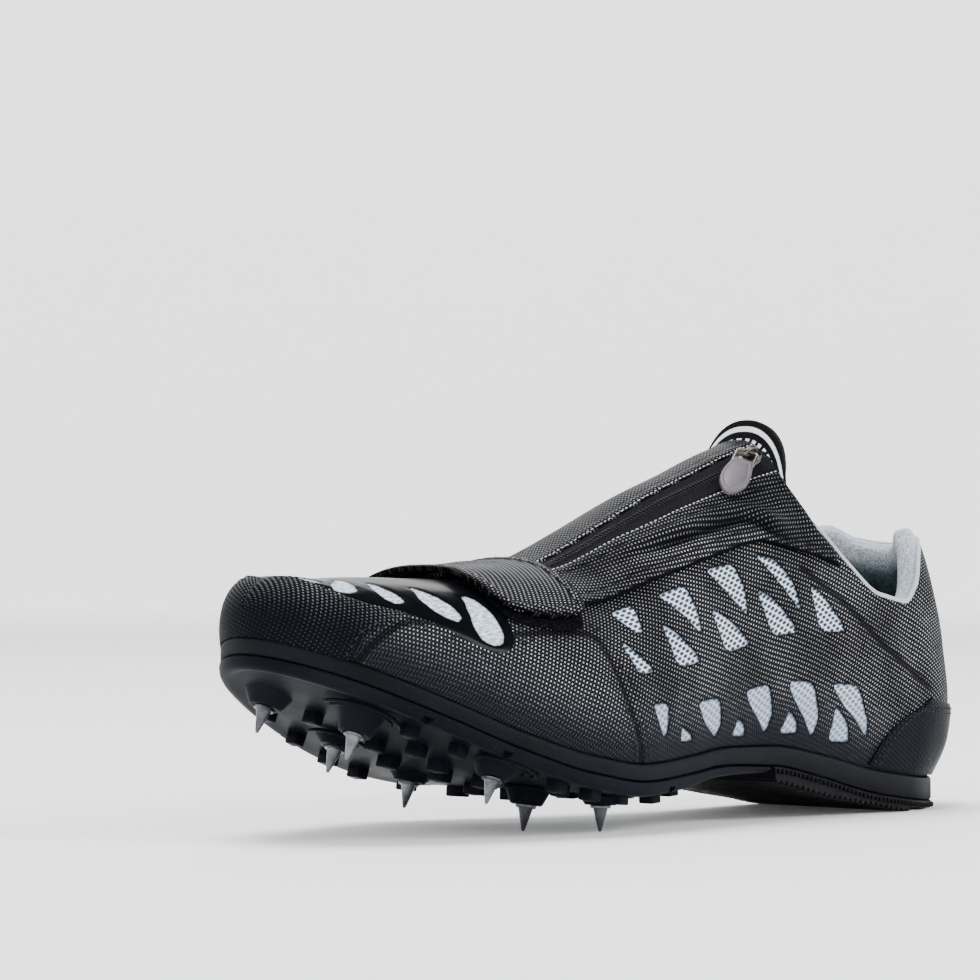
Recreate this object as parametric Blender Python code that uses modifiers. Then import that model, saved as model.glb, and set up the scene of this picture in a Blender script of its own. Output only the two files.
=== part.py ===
# Track spike shoe, left foot, standing empty on its heel and two of its spikes.
# Metres. +Z up, toe towards -X, outer (lateral) side towards -Y.
# The origin is the centre of the heel's flat spot, on the floor.

import math

import bmesh
import bpy
import numpy as np
from mathutils import Matrix
from mathutils import Vector

for old in list(bpy.data.objects):
    bpy.data.objects.remove(old, do_unlink=True)

# Named sizes
LENGTH = 0.2770
HEEL_BACK = 0.0220
BALL_WIDTH = 0.097
INSTEP_HEIGHT = 0.084
HEEL_HEIGHT = 0.075
BALL_STACK = 0.0195
TOE_SPRING = 0.036
HEEL_ROUND = 0.036
TOE_ROUND = 0.110
TOE_NOSE = 0.013
LEAN_REACH = 0.050

FIT_GAP = 0.0003
WALL = 0.0016
OVERLAY = 0.0009
OVERLAY_GAP = 0.0004
COUNTER_GAP = 0.0006
SHROUD_WALL = 0.0013
STRAP_WALL = 0.0018
STRAP_GAP = 0.0021
LINING_WALL = 0.0045
TONGUE_WALL = 0.0040
TONGUE_DEPTH = 0.0028
TONGUE_RISE = 0.0090
INSOLE_THICK = 0.0035
INSOLE_INSET = 0.0026
MIDSOLE_TOE = 0.0046
MIDSOLE_HEEL = 0.0068
MIDSOLE_FLANGE = 0.0012
PLATE_THICK = 0.0042
PLATE_FLANGE = 0.0016
PLATE_BEVEL = 0.0012
LUG_LONG = 0.0040
LUG_WIDE = 0.0060
LUG_DEEP = 0.0028
LUG_SINK = 0.0016
NOTCH_WIDE = 0.0028
NOTCH_DEEP = 0.0022
TREAD_DEPTH = 0.0012
TREAD_PITCH = 0.0052
TREAD_CUT = 0.0016

SPIKE_LENGTH = 0.0066
SPIKE_BASE = 0.0021
SPIKE_TIP = 0.0005
FLANGE_RADIUS = 0.0029
FLANGE_THICK = 0.0008
BOSS_TOP = 0.0047
BOSS_FOOT = 0.0070
BOSS_SINK = 0.0012
BOSS_HEIGHT = 0.0034

ZIP_TAPE = 0.0010
SLIDER_LONG = 0.0082
SLIDER_WIDE = 0.0066
SLIDER_HIGH = 0.0022
BRIDGE_HIGH = 0.0026
BRIDGE_WIRE = 0.0011
LINK_LONG = 0.0068
LINK_WIDE = 0.0060
LINK_WIRE = 0.0011
TAB_LONG = 0.0165
TAB_WIDE = 0.0085
TAB_THICK = 0.0018
PULL_HEIGHT = 0.00125
PULL_SWING = 24.0

UPPER_ROWS_HEEL = 7
UPPER_ROWS_WAIST = 17
UPPER_ROWS_TOE = 16
UPPER_COLUMNS = 10

# Sections of the last. Columns: share of the length from the heel, half width and
# centre as shares of the ball width, feather stack, share of the toe spring, ridge
# and widest height as shares of the instep height, lateral and medial feather
# width as shares of the half width, fullness of the curve above the widest point.
SECTIONS = (
    (0.000, 0.312, 0.000, 0.46, 0.000, 1.300, 0.27, 0.86, 0.86, 0.90),
    (0.080, 0.312, 0.000, 0.49, 0.000, 1.290, 0.26, 0.88, 0.88, 0.88),
    (0.180, 0.320, -0.008, 0.62, 0.000, 1.220, 0.22, 0.92, 0.90, 0.84),
    (0.300, 0.334, -0.022, 0.95, 0.000, 1.075, 0.17, 0.92, 0.82, 0.86),
    (0.380, 0.345, -0.028, 1.12, 0.000, 0.955, 0.15, 0.92, 0.78, 0.90),
    (0.460, 0.375, -0.028, 1.14, 0.000, 0.855, 0.12, 0.92, 0.80, 0.92),
    (0.540, 0.425, -0.020, 1.05, 0.000, 0.755, 0.10, 0.94, 0.86, 0.90),
    (0.620, 0.475, -0.005, 0.98, 0.005, 0.655, 0.10, 0.96, 0.92, 0.86),
    (0.700, 0.500, 0.000, 0.99, 0.090, 0.575, 0.09, 0.96, 0.95, 0.80),
    (0.780, 0.500, 0.006, 1.00, 0.270, 0.490, 0.08, 0.97, 0.96, 0.76),
    (0.860, 0.500, 0.016, 1.00, 0.530, 0.385, 0.07, 0.97, 0.97, 0.72),
    (0.930, 0.500, 0.026, 1.00, 0.770, 0.280, 0.06, 0.97, 0.97, 0.70),
    (1.000, 0.500, 0.036, 1.00, 1.000, 0.210, 0.05, 0.97, 0.97, 0.70),
)

# How far the heel's back leans. Columns: height above the feather line and
# shift along X, both as shares of the heel height.
HEEL_LEAN = (
    (0.00, -0.100),
    (0.16, -0.018),
    (0.32, 0.000),
    (0.50, -0.025),
    (0.66, -0.055),
    (0.88, -0.115),
    (1.00, -0.165),
    (1.50, -0.300),
)

# Upper's top edge, the collar and then the throat. Columns: share of the length,
# lateral and medial height as shares of the way from feather line to ridge.
COLLAR = (
    (0.000, 0.555, 0.555),
    (0.040, 0.540, 0.552),
    (0.080, 0.508, 0.550),
    (0.115, 0.440, 0.520),
    (0.145, 0.404, 0.480),
    (0.190, 0.418, 0.462),
    (0.240, 0.488, 0.500),
    (0.290, 0.600, 0.610),
    (0.340, 0.700, 0.700),
    (0.450, 0.790, 0.790),
    (0.580, 0.850, 0.850),
    (0.640, 0.915, 0.915),
    (0.680, 1.000, 1.000),
)

# Shroud over the instep. Columns: share of the way from its front to its rear
# edge, lateral edge, slot's lower edge, slot's upper edge, medial edge, all
# as shares of the girth from lateral to medial feather line.
SHROUD = (
    (0.00, 0.318, 0.436, 0.476, 0.715),
    (0.12, 0.316, 0.434, 0.476, 0.715),
    (0.35, 0.312, 0.426, 0.474, 0.715),
    (0.55, 0.300, 0.404, 0.466, 0.715),
    (0.75, 0.292, 0.393, 0.461, 0.715),
    (0.88, 0.262, 0.389, 0.460, 0.715),
    (1.00, 0.240, 0.386, 0.460, 0.715),
)
SHROUD_FRONT = 0.700
SLOT_FRONT = 0.645

# Shroud's rear edge. Columns: share of the girth, share of the length.
SHROUD_REAR = (
    (0.230, 0.258),
    (0.250, 0.263),
    (0.290, 0.289),
    (0.375, 0.312),
    (0.440, 0.308),
    (0.500, 0.300),
    (0.600, 0.296),
    (0.715, 0.285),
)

# Forefoot strap. Columns: share of the girth, front and rear edge as
# shares of the length. The first rows make its rounded lateral end.
STRAP = (
    (0.280, 0.752, 0.708),
    (0.286, 0.768, 0.690),
    (0.300, 0.780, 0.677),
    (0.325, 0.786, 0.672),
    (0.395, 0.786, 0.662),
    (0.460, 0.775, 0.651),
    (0.520, 0.768, 0.645),
    (0.640, 0.765, 0.640),
    (0.800, 0.765, 0.645),
    (0.930, 0.765, 0.655),
)

# Toe panel. Columns: share of the way up, share of the length at its seam.
TOE_SEAM = (
    (0.00, 0.925),
    (0.45, 0.912),
    (0.80, 0.890),
    (1.00, 0.880),
)
# Its top edge. Columns: share of the length, share of the way to the ridge.
TOE_TOP = (
    (0.870, 0.550),
    (0.900, 0.570),
    (0.950, 0.720),
    (1.000, 0.760),
)

# Heel counter. Columns: share of the way up, share of the length at its seam.
COUNTER_SEAM = (
    (0.00, 0.215),
    (0.45, 0.190),
    (0.75, 0.155),
    (1.00, 0.105),
)
COUNTER_TOP = 0.245

# Spikes. Columns: name, share of the length of its seat, place across as a share
# of the ball width, boss height as a share of BOSS_HEIGHT, or None where the tip
# stands on the floor.
SPIKES = (
    ("spike_1", 0.933, 0.155, 0.85),
    ("spike_2", 0.897, -0.113, 1.60),
    ("spike_3", 0.828, 0.186, 0.55),
    ("spike_4", 0.776, -0.299, 0.95),
    ("spike_5", 0.722, 0.196, 0.55),
    ("spike_6", 0.666, -0.124, None),
    ("spike_7", 0.624, -0.299, None),
)

# Heel tread's underside. Columns: share of the length, height as a share of the
# ball stack.
TREAD_FLOOR = (
    (0.000, 0.000),
    (0.141, 0.000),
    (0.206, 0.133),
    (0.284, 0.297),
    (0.342, 0.472),
    (0.388, 0.605),
    (0.442, 0.769),
)


def smooth(at, table, column, key=0):
    """Monotone cubic through one column of a table."""
    x = np.array([row[key] for row in table], float)
    y = np.array([row[column] for row in table], float)
    h = np.diff(x)
    d = np.diff(y) / h
    m = np.zeros_like(y)
    m[0] = d[0]
    m[-1] = d[-1]
    for i in range(1, len(x) - 1):
        if d[i - 1] * d[i] > 0:
            w1 = 2 * h[i] + h[i - 1]
            w2 = h[i] + 2 * h[i - 1]
            m[i] = (w1 + w2) / (w1 / d[i - 1] + w2 / d[i])
    at = np.clip(np.asarray(at, float), x[0], x[-1])
    i = np.clip(np.searchsorted(x, at) - 1, 0, len(h) - 1)
    t = (at - x[i]) / h[i]
    low = (2 * t**3 - 3 * t**2 + 1) * y[i] + (t**3 - 2 * t**2 + t) * h[i] * m[i]
    high = (3 * t**2 - 2 * t**3) * y[i + 1] + (t**3 - t**2) * h[i] * m[i + 1]
    return low + high


def rounding(distance, radius):
    k = np.clip(1 - distance / radius, 0, 1)
    return np.sqrt(np.clip(1 - k * k, 0, 1))


def feather_height(s):
    return smooth(s, SECTIONS, 3) * BALL_STACK + smooth(s, SECTIONS, 4) * TOE_SPRING


def last(s, a):
    """Point of the upper's outer face: s from heel to toe, a from lateral to medial feather line."""
    s = np.asarray(s, float)
    a = np.asarray(a, float)
    from_toe = (1 - s) * LENGTH
    half = smooth(s, SECTIONS, 1) * BALL_WIDTH
    half = half * rounding(s * LENGTH, HEEL_ROUND) * rounding(from_toe, TOE_ROUND)
    centre = smooth(s, SECTIONS, 2) * BALL_WIDTH
    rise = smooth(s, SECTIONS, 5) * INSTEP_HEIGHT * (0.42 + 0.58 * rounding(from_toe, TOE_NOSE))
    wide = np.minimum(smooth(s, SECTIONS, 6) * INSTEP_HEIGHT, 0.45 * rise)
    share = np.where(a < 0.5, smooth(s, SECTIONS, 7), smooth(s, SECTIONS, 8))
    full = smooth(s, SECTIONS, 9)
    low = np.arccos(share)
    angle = -low + (math.pi / 2 + low) * (1 - np.abs(2 * a - 1))
    c = np.clip(np.cos(angle), 0, 1)
    across = np.where(angle < 0, c, c**full) * half
    up = np.where(angle < 0, wide * (1 + np.sin(angle) / np.sin(low)), wide + (rise - wide) * np.sin(angle))
    near = np.clip(1 - s * LENGTH / LEAN_REACH, 0, 1)
    near = near * near * (3 - 2 * near)
    lean = smooth(up / HEEL_HEIGHT, HEEL_LEAN, 1) * HEEL_HEIGHT * near
    x = HEEL_BACK - s * LENGTH + lean
    y = centre + np.where(a < 0.5, -across, across)
    return np.stack([x, y, feather_height(s) + up], -1)


def girth(k, side):
    """Share of the girth for a share k of the way from one side's feather line to the ridge."""
    return k / 2 if side < 0 else 1 - k / 2


def material(name, color, metallic, roughness):
    made = bpy.data.materials.new(name)
    made.use_nodes = True
    shader = made.node_tree.nodes["Principled BSDF"]
    shader.inputs["Base Color"].default_value = (*color, 1)
    shader.inputs["Metallic"].default_value = metallic
    shader.inputs["Roughness"].default_value = roughness
    return made


shoe = bpy.data.collections.new("track_spike_shoe")
bpy.context.scene.collection.children.link(shoe)
tools = bpy.data.collections.new("cutters")
bpy.context.scene.collection.children.link(tools)


def keep(name, bm, color=None, metallic=0.0, roughness=0.6):
    """Turn a bmesh into a named object, a part when it has a colour and a cutter when it has none."""
    mesh = bpy.data.meshes.new(name)
    bm.to_mesh(mesh)
    bm.free()
    made = bpy.data.objects.new(name, mesh)
    if color is None:
        tools.objects.link(made)
        made.hide_render = True
        made.display_type = "WIRE"
    else:
        shoe.objects.link(made)
        made.data.materials.append(material(name, color, metallic, roughness))
    return made


def cut(part, tool, operation="DIFFERENCE"):
    step = part.modifiers.new(tool.name, "BOOLEAN")
    step.operation = operation
    step.solver = "EXACT"
    step.object = tool


def grid(bm, rows, columns, place):
    """Grid moved on to place(u, v), rows running along u and columns along v."""
    made = bmesh.ops.create_grid(bm, x_segments=columns, y_segments=rows, size=1.0)
    for vert in made["verts"]:
        u = round((vert.co.y + 1) / 2 * rows) / rows
        v = round((vert.co.x + 1) / 2 * columns) / columns
        vert.co = Vector(place(u, v))
    return made["verts"]


def outward(bm):
    """Turn a sheet of the last so that its faces look away from the foot."""
    bmesh.ops.remove_doubles(bm, verts=bm.verts, dist=0.00001)
    bmesh.ops.recalc_face_normals(bm, faces=bm.faces)
    total = 0.0
    for face in bm.faces:
        middle = face.calc_center_median()
        heart = Vector((middle.x, 0.0, 0.045))
        total += face.normal.dot((middle - heart).normalized()) * face.calc_area()
    if total < 0:
        bmesh.ops.reverse_faces(bm, faces=bm.faces)
    bm.normal_update()


def shell(name, bm, height, wall, color, metallic=0.0, roughness=0.6):
    """Sheet of the last raised by a height and thickened inwards (wall < 0) or outwards (wall > 0)."""
    outward(bm)
    raised = [(vert, vert.co + vert.normal * height) for vert in bm.verts]
    for vert, place in raised:
        vert.co = place
    made = keep(name, bm, color, metallic, roughness)
    step = made.modifiers.new("wall", "SOLIDIFY")
    step.thickness = abs(wall)
    step.offset = 1.0 if wall > 0 else -1.0
    step.use_even_offset = True
    return made


# Upper, one hollow wall open at the collar, the throat and underneath

heel_rows = [HEEL_ROUND * (1 - math.cos(math.pi / 2 * i / UPPER_ROWS_HEEL)) for i in range(UPPER_ROWS_HEEL)]
toe_rows = [LENGTH - TOE_ROUND * (1 - math.cos(math.pi / 2 * i / UPPER_ROWS_TOE)) for i in range(UPPER_ROWS_TOE + 1)]
waist_rows = list(np.linspace(HEEL_ROUND, LENGTH - TOE_ROUND, UPPER_ROWS_WAIST + 1)[:-1])
ROWS = np.array(heel_rows + waist_rows + toe_rows[::-1]) / LENGTH


def collar(s, side):
    return float(smooth(s, COLLAR, 1 if side < 0 else 2))


def upper_sheet(rows, first, side, bm):
    """One side of the upper's sheet, from a share of its height to the top edge."""
    columns = round((1 - first) * UPPER_COLUMNS)

    def place(u, v):
        s = rows[round(u * (len(rows) - 1))]
        k = (first + (1 - first) * v) * collar(s, side)
        return last(s, girth(k, side))

    grid(bm, len(rows) - 1, columns, place)


bm = bmesh.new()
upper_sheet(ROWS, 0.0, -1, bm)
upper_sheet(ROWS, 0.0, 1, bm)
upper = shell("upper", bm, 0.0, -WALL, (0.035, 0.037, 0.042), 0.0, 0.55)


# Padded collar lining, inside the upper's wall round the heel

LINING_ROWS = ROWS[ROWS < 0.285]
bm = bmesh.new()
upper_sheet(LINING_ROWS, 0.5, -1, bm)
upper_sheet(LINING_ROWS, 0.5, 1, bm)
lining = shell("collar_lining", bm, -WALL - FIT_GAP, -LINING_WALL, (0.46, 0.50, 0.54), 0.0, 0.9)


# Toe panel and heel counter, laid on the upper


def toe_panel_point(u, v):
    side = -1 if u < 0.5 else 1
    t = abs(2 * u - 1)
    s = 1 - (1 - float(smooth(v, TOE_SEAM, 1))) * t**1.8
    k = v * float(smooth(s, TOE_TOP, 1))
    return last(s, girth(k, side))


bm = bmesh.new()
grid(bm, 18, 5, toe_panel_point)
toe_panel = shell("toe_panel", bm, OVERLAY_GAP, OVERLAY, (0.04, 0.042, 0.048), 0.0, 0.5)


def counter_point(u, v):
    side = -1 if u < 0.5 else 1
    t = abs(2 * u - 1)
    s = float(smooth(v, COUNTER_SEAM, 1)) * t**1.6
    k = 0.025 + v * (COUNTER_TOP - 0.025)
    return last(s, girth(k, side))


bm = bmesh.new()
grid(bm, 22, 4, counter_point)
counter = shell("heel_counter", bm, COUNTER_GAP, OVERLAY, (0.02, 0.02, 0.024), 0.0, 0.35)


# Shroud over the instep with the slot for the zip


def shroud_rear(a):
    return float(smooth(a, SHROUD_REAR, 1))


def shroud_point(way, a, front=SHROUD_FRONT):
    s = front + (shroud_rear(a) - front) * way
    return last(s, a)


SLOT_SHARE = (SHROUD_FRONT - SLOT_FRONT) / (SHROUD_FRONT - 0.305)
SHROUD_ROWS = 20
SLOT_ROW = 3
FRONT_WAYS = [SLOT_SHARE * i / SLOT_ROW for i in range(SLOT_ROW)]
REAR_WAYS = list(np.linspace(SLOT_SHARE, 1, SHROUD_ROWS - SLOT_ROW + 1))
WAYS = FRONT_WAYS + REAR_WAYS


def shroud_edge(way, column):
    return float(smooth(way, SHROUD, column))


def shroud_panel(bm, ways, low, high, columns):
    def place(u, v):
        way = ways[round(u * (len(ways) - 1))]
        a0 = shroud_edge(way, low)
        a1 = shroud_edge(way, high)
        return shroud_point(way, a0 + (a1 - a0) * v)

    grid(bm, len(ways) - 1, columns, place)


bm = bmesh.new()
shroud_panel(bm, WAYS, 1, 2, 4)
shroud_panel(bm, WAYS[: SLOT_ROW + 1], 2, 3, 1)
shroud_panel(bm, WAYS, 3, 4, 7)
shroud = shell("shroud", bm, OVERLAY_GAP, SHROUD_WALL, (0.05, 0.052, 0.058), 0.0, 0.5)


# Zip tape, lying in the slot

TAPE_INSET = 0.0022


def tape_point(u, v):
    way = REAR_WAYS[0] + (REAR_WAYS[-1] - REAR_WAYS[0]) * (0.008 + 0.992 * u)
    a0 = shroud_edge(way, 2) + TAPE_INSET
    a1 = shroud_edge(way, 3) - TAPE_INSET
    return shroud_point(way, a0 + (a1 - a0) * v)


bm = bmesh.new()
grid(bm, len(REAR_WAYS) - 1, 2, tape_point)
tape = shell("zip_tape", bm, OVERLAY_GAP, ZIP_TAPE, (0.02, 0.02, 0.022), 0.0, 0.6)


# Forefoot strap, over the shroud's front end and down to the medial feather line


def strap_point(u, v):
    first = STRAP[0][0]
    span = STRAP[-1][0] - first
    a = first + span * (0.45 * u * u + 0.55 * u)
    front = float(smooth(a, STRAP, 1))
    rear = float(smooth(a, STRAP, 2))
    return last(front + (rear - front) * v, a)


bm = bmesh.new()
grid(bm, 20, 5, strap_point)
strap = shell("forefoot_strap", bm, STRAP_GAP, STRAP_WALL, (0.04, 0.042, 0.048), 0.0, 0.5)


# Tongue, under the throat's edges, its top above the shroud's rear edge

TONGUE_FRONT = 0.690
TONGUE_REAR = 0.288
TONGUE_HALF = 0.145
TONGUE_LIFT_FROM = 0.330


def tongue_point(u, v):
    t = 2 * v - 1
    rear = TONGUE_REAR + 0.016 * t * t
    s = TONGUE_FRONT + (rear - TONGUE_FRONT) * u
    half = TONGUE_HALF * (0.62 + 0.38 * min(1.0, u / 0.4))
    point = last(s, 0.5 + half * t)
    lift = max(0.0, (TONGUE_LIFT_FROM - s) / (TONGUE_LIFT_FROM - TONGUE_REAR))
    point[2] += TONGUE_RISE * lift**3 * (1 - 0.45 * t * t)
    return point


bm = bmesh.new()
grid(bm, 18, 6, tongue_point)
tongue = shell("tongue", bm, -TONGUE_DEPTH, -TONGUE_WALL, (0.30, 0.32, 0.35), 0.0, 0.8)


# Sole: slabs that follow the feather line


def feather_loop(s, side, grow):
    """Point of the feather line moved outwards in plan by grow."""
    step = 0.0005
    s0 = max(0.0, s - step)
    s1 = min(1.0, s + step)
    a = 0.0 if side < 0 else 1.0
    here = last(s, a)
    if s <= 0.0:
        normal = np.array([1.0, 0.0])
    elif s >= 1.0:
        normal = np.array([-1.0, 0.0])
    else:
        along = last(s1, a) - last(s0, a)
        normal = np.array([-along[1], along[0]]) * (-side)
        normal = normal / np.linalg.norm(normal)
    return here[0] + normal[0] * grow, here[1] + normal[1] * grow


def slab(name, rows, columns, levels, color, roughness, metallic=0.0):
    """Slab over the rows of the feather line. Levels from top to bottom: outward growth, height(x, s)."""
    bm = bmesh.new()
    row_tag = bm.verts.layers.int.new("row")
    column_tag = bm.verts.layers.int.new("column")
    made = bmesh.ops.create_grid(bm, x_segments=columns, y_segments=len(rows) - 1, size=1.0)
    for vert in made["verts"]:
        vert[row_tag] = round((vert.co.y + 1) / 2 * (len(rows) - 1))
        vert[column_tag] = round((vert.co.x + 1) / 2 * columns)

    def move(verts, grow, height):
        for vert in verts:
            s = float(rows[vert[row_tag]])
            v = vert[column_tag] / columns
            left = feather_loop(s, -1, grow)
            right = feather_loop(s, 1, grow)
            x = left[0] + (right[0] - left[0]) * v
            y = left[1] + (right[1] - left[1]) * v
            vert.co = Vector((x, y, height(x, s)))

    move(bm.verts, *levels[0])
    faces = list(bm.faces)
    for number, (grow, height) in enumerate(levels[1:]):
        inner = faces
        made = bmesh.ops.extrude_face_region(bm, geom=faces)
        verts = [item for item in made["geom"] if isinstance(item, bmesh.types.BMVert)]
        faces = [item for item in made["geom"] if isinstance(item, bmesh.types.BMFace)]
        if number > 0:
            bmesh.ops.delete(bm, geom=inner, context="FACES")
        move(verts, grow, height)
    bmesh.ops.remove_doubles(bm, verts=bm.verts, dist=0.00001)
    bmesh.ops.recalc_face_normals(bm, faces=bm.faces)
    if bm.calc_volume(signed=True) < 0:
        bmesh.ops.reverse_faces(bm, faces=bm.faces)
    return keep(name, bm, color, metallic, roughness)


def thin(s):
    """Midsole's thickness."""
    return MIDSOLE_TOE + (MIDSOLE_HEEL - MIDSOLE_TOE) * (1 - min(1.0, max(0.0, (s - 0.25) / 0.25)))


def midsole_bottom(s):
    return float(feather_height(s)) - thin(s)


MIDSOLE_ROWS = ROWS

midsole = slab(
    "midsole",
    MIDSOLE_ROWS,
    3,
    (
        (MIDSOLE_FLANGE * 0.3, lambda x, s: float(feather_height(s)) - FIT_GAP),
        (MIDSOLE_FLANGE, lambda x, s: float(feather_height(s)) - FIT_GAP - 0.0010),
        (MIDSOLE_FLANGE, lambda x, s: midsole_bottom(s) + 0.0004),
        (MIDSOLE_FLANGE * 0.6, lambda x, s: midsole_bottom(s)),
    ),
    (0.015, 0.015, 0.017),
    0.75,
)

INSOLE_ROWS = 0.018 + 0.970 * np.concatenate([ROWS[:7], ROWS[7:31:2], ROWS[31:]])
insole = slab(
    "insole",
    INSOLE_ROWS,
    4,
    (
        (-INSOLE_INSET, lambda x, s: float(feather_height(s)) + INSOLE_THICK),
        (-INSOLE_INSET, lambda x, s: float(feather_height(s))),
    ),
    (0.05, 0.05, 0.055),
    0.85,
)

# Spike plate: side wall, then bosses, lugs and notches

PLATE_REAR = 0.390
PLATE_ROWS = np.concatenate([np.linspace(PLATE_REAR, 0.62, 6)[:-1], np.linspace(0.62, 0.86, 7)[:-1], 1 - 0.14 * np.linspace(1, 0, 9) ** 1.9])


def plate_thick(s):
    """Plate's thickness, thinned to its rear end in the arch."""
    return PLATE_THICK * (0.45 + 0.55 * min(1.0, max(0.0, (s - PLATE_REAR) / 0.16)))


def plate_top(s):
    return midsole_bottom(s) - FIT_GAP


plate = slab(
    "outsole_plate",
    PLATE_ROWS,
    6,
    (
        (PLATE_FLANGE * 0.7, lambda x, s: plate_top(s)),
        (PLATE_FLANGE, lambda x, s: plate_top(s) - 0.0006),
        (PLATE_FLANGE * 0.6, lambda x, s: plate_top(s) - plate_thick(s) + 0.0010),
        (-PLATE_BEVEL, lambda x, s: plate_top(s) - plate_thick(s)),
        (-0.0030, lambda x, s: plate_top(s) - plate_thick(s) + 0.0004),
    ),
    (0.03, 0.031, 0.036),
    0.3,
)


def plate_floor(s):
    return plate_top(s) - plate_thick(s)


def plate_slope(s):
    rise = float(feather_height(s + 0.01) - feather_height(s - 0.01))
    return math.atan2(rise, 0.02 * LENGTH)


SPIKE_SEAT = SPIKE_LENGTH + FLANGE_THICK + 0.0001


def spike_frame(share, across, boss):
    """Frame at a spike's tip with +Z along its axis, up into the plate, and the boss's height."""
    slope = plate_slope(share)
    x = HEEL_BACK - share * LENGTH
    low = plate_floor(share)
    if boss is None:
        height = low / math.cos(slope) - SPIKE_SEAT
    else:
        height = boss * BOSS_HEIGHT
    reach = SPIKE_SEAT + height
    tip = (x - reach * math.sin(slope), across * BALL_WIDTH, low - reach * math.cos(slope))
    return Matrix.Translation(tip) @ Matrix.Rotation(slope, 4, "Y"), height


bm = bmesh.new()
for name, share, across, boss in SPIKES:
    frame, height = spike_frame(share, across, boss)
    depth = height + BOSS_SINK
    middle = frame @ Matrix.Translation((0, 0, SPIKE_SEAT + depth / 2))
    bmesh.ops.create_cone(
        bm,
        cap_ends=True,
        segments=16,
        radius1=BOSS_TOP,
        radius2=BOSS_FOOT,
        depth=depth,
        matrix=middle,
    )
bosses = keep("plate_bosses", bm)
cut(plate, bosses, "UNION")

# Spikes

spike_parts = []
for name, share, across, boss in SPIKES:
    frame, height = spike_frame(share, across, boss)
    bm = bmesh.new()
    profile = (
        (0.0, 0.0),
        (SPIKE_TIP, 0.0),
        (SPIKE_BASE, SPIKE_LENGTH),
        (FLANGE_RADIUS, SPIKE_LENGTH),
        (FLANGE_RADIUS, SPIKE_LENGTH + FLANGE_THICK),
        (0.0, SPIKE_LENGTH + FLANGE_THICK),
    )
    points = [bm.verts.new((r, 0, h)) for r, h in profile]
    edges = [bm.edges.new(pair) for pair in zip(points[:-1], points[1:])]
    bmesh.ops.spin(
        bm,
        geom=points + edges,
        cent=(0, 0, 0),
        axis=(0, 0, 1),
        angle=2 * math.pi,
        steps=12,
        use_merge=True,
    )
    bmesh.ops.remove_doubles(bm, verts=bm.verts, dist=0.00001)
    bmesh.ops.recalc_face_normals(bm, faces=bm.faces)
    bmesh.ops.transform(bm, matrix=frame, verts=bm.verts)
    spike_parts.append(keep(name, bm, (0.55, 0.56, 0.58), 1.0, 0.3))

# Lugs under the plate. Columns: share of the length, place across as a share
# from lateral to medial edge, length, width and depth as shares of a lug's sizes.
LUGS = (
    (0.542, 0.10, 1.00, 0.83, 0.79),
    (0.542, 0.30, 1.00, 1.00, 0.71),
    (0.542, 0.62, 1.00, 1.00, 0.71),
    (0.542, 0.88, 1.00, 0.83, 0.71),
    (0.585, 0.07, 1.00, 0.83, 0.93),
    (0.585, 0.45, 1.00, 1.17, 0.86),
    (0.585, 0.72, 1.00, 1.00, 0.86),
    (0.585, 0.92, 1.00, 0.83, 0.86),
    (0.642, 0.05, 0.90, 0.67, 0.86),
    (0.631, 0.55, 1.00, 1.17, 1.00),
    (0.631, 0.80, 1.00, 1.00, 0.93),
    (0.682, 0.06, 1.00, 0.83, 1.00),
    (0.703, 0.12, 0.90, 0.75, 1.00),
    (0.680, 0.55, 1.00, 1.17, 1.00),
    (0.680, 0.86, 1.00, 0.83, 0.93),
    (0.725, 0.06, 1.00, 0.83, 1.00),
    (0.728, 0.36, 1.00, 1.17, 1.00),
    (0.746, 0.50, 1.00, 1.00, 1.00),
    (0.739, 0.90, 1.00, 0.83, 0.93),
    (0.778, 0.40, 0.90, 1.00, 0.93),
    (0.782, 0.62, 1.00, 1.00, 0.93),
    (0.785, 0.90, 1.00, 0.83, 0.93),
    (0.825, 0.12, 1.00, 0.75, 0.93),
    (0.821, 0.34, 0.90, 0.92, 0.93),
    (0.828, 0.52, 0.90, 0.92, 0.86),
    (0.835, 0.91, 0.90, 0.75, 0.86),
    (0.868, 0.16, 0.90, 0.75, 0.86),
    (0.868, 0.42, 0.90, 0.83, 0.79),
    (0.889, 0.62, 0.90, 0.83, 0.79),
    (0.893, 0.88, 0.90, 0.67, 0.79),
)
bm = bmesh.new()
for share, across, long, wide, deep in LUGS:
    left = feather_loop(share, -1, 0.0)
    right = feather_loop(share, 1, 0.0)
    x = left[0] + (right[0] - left[0]) * across
    y = left[1] + (right[1] - left[1]) * across
    turn = Matrix.Translation((x, y, plate_floor(share))) @ Matrix.Rotation(plate_slope(share), 4, "Y")
    size = Matrix.Diagonal((long * LUG_LONG, wide * LUG_WIDE, deep * LUG_DEEP + LUG_SINK, 1))
    middle = Matrix.Translation((0, 0, (LUG_SINK - deep * LUG_DEEP) / 2))
    bmesh.ops.create_cube(bm, size=1.0, matrix=turn @ middle @ size)
lugs = keep("plate_lugs", bm)
cut(plate, lugs, "UNION")

# Notches in the plate's side wall. Columns: share of the length, side.
NOTCHES = (
    (0.882, -1),
    (0.803, -1),
    (0.578, -1),
    (0.835, 1),
    (0.692, 1),
)
bm = bmesh.new()
for share, side in NOTCHES:
    edge = feather_loop(share, side, PLATE_FLANGE)
    low = plate_floor(share)
    turn = Matrix.Translation((edge[0], edge[1], low)) @ Matrix.Rotation(plate_slope(share), 4, "Y")
    size = Matrix.Diagonal((NOTCH_WIDE, 2 * NOTCH_DEEP, PLATE_THICK, 1))
    bmesh.ops.create_cube(bm, size=1.0, matrix=turn @ size)
notches = keep("plate_notches", bm)
cut(plate, notches)

# Heel tread, ribbed rubber down to the floor

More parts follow.
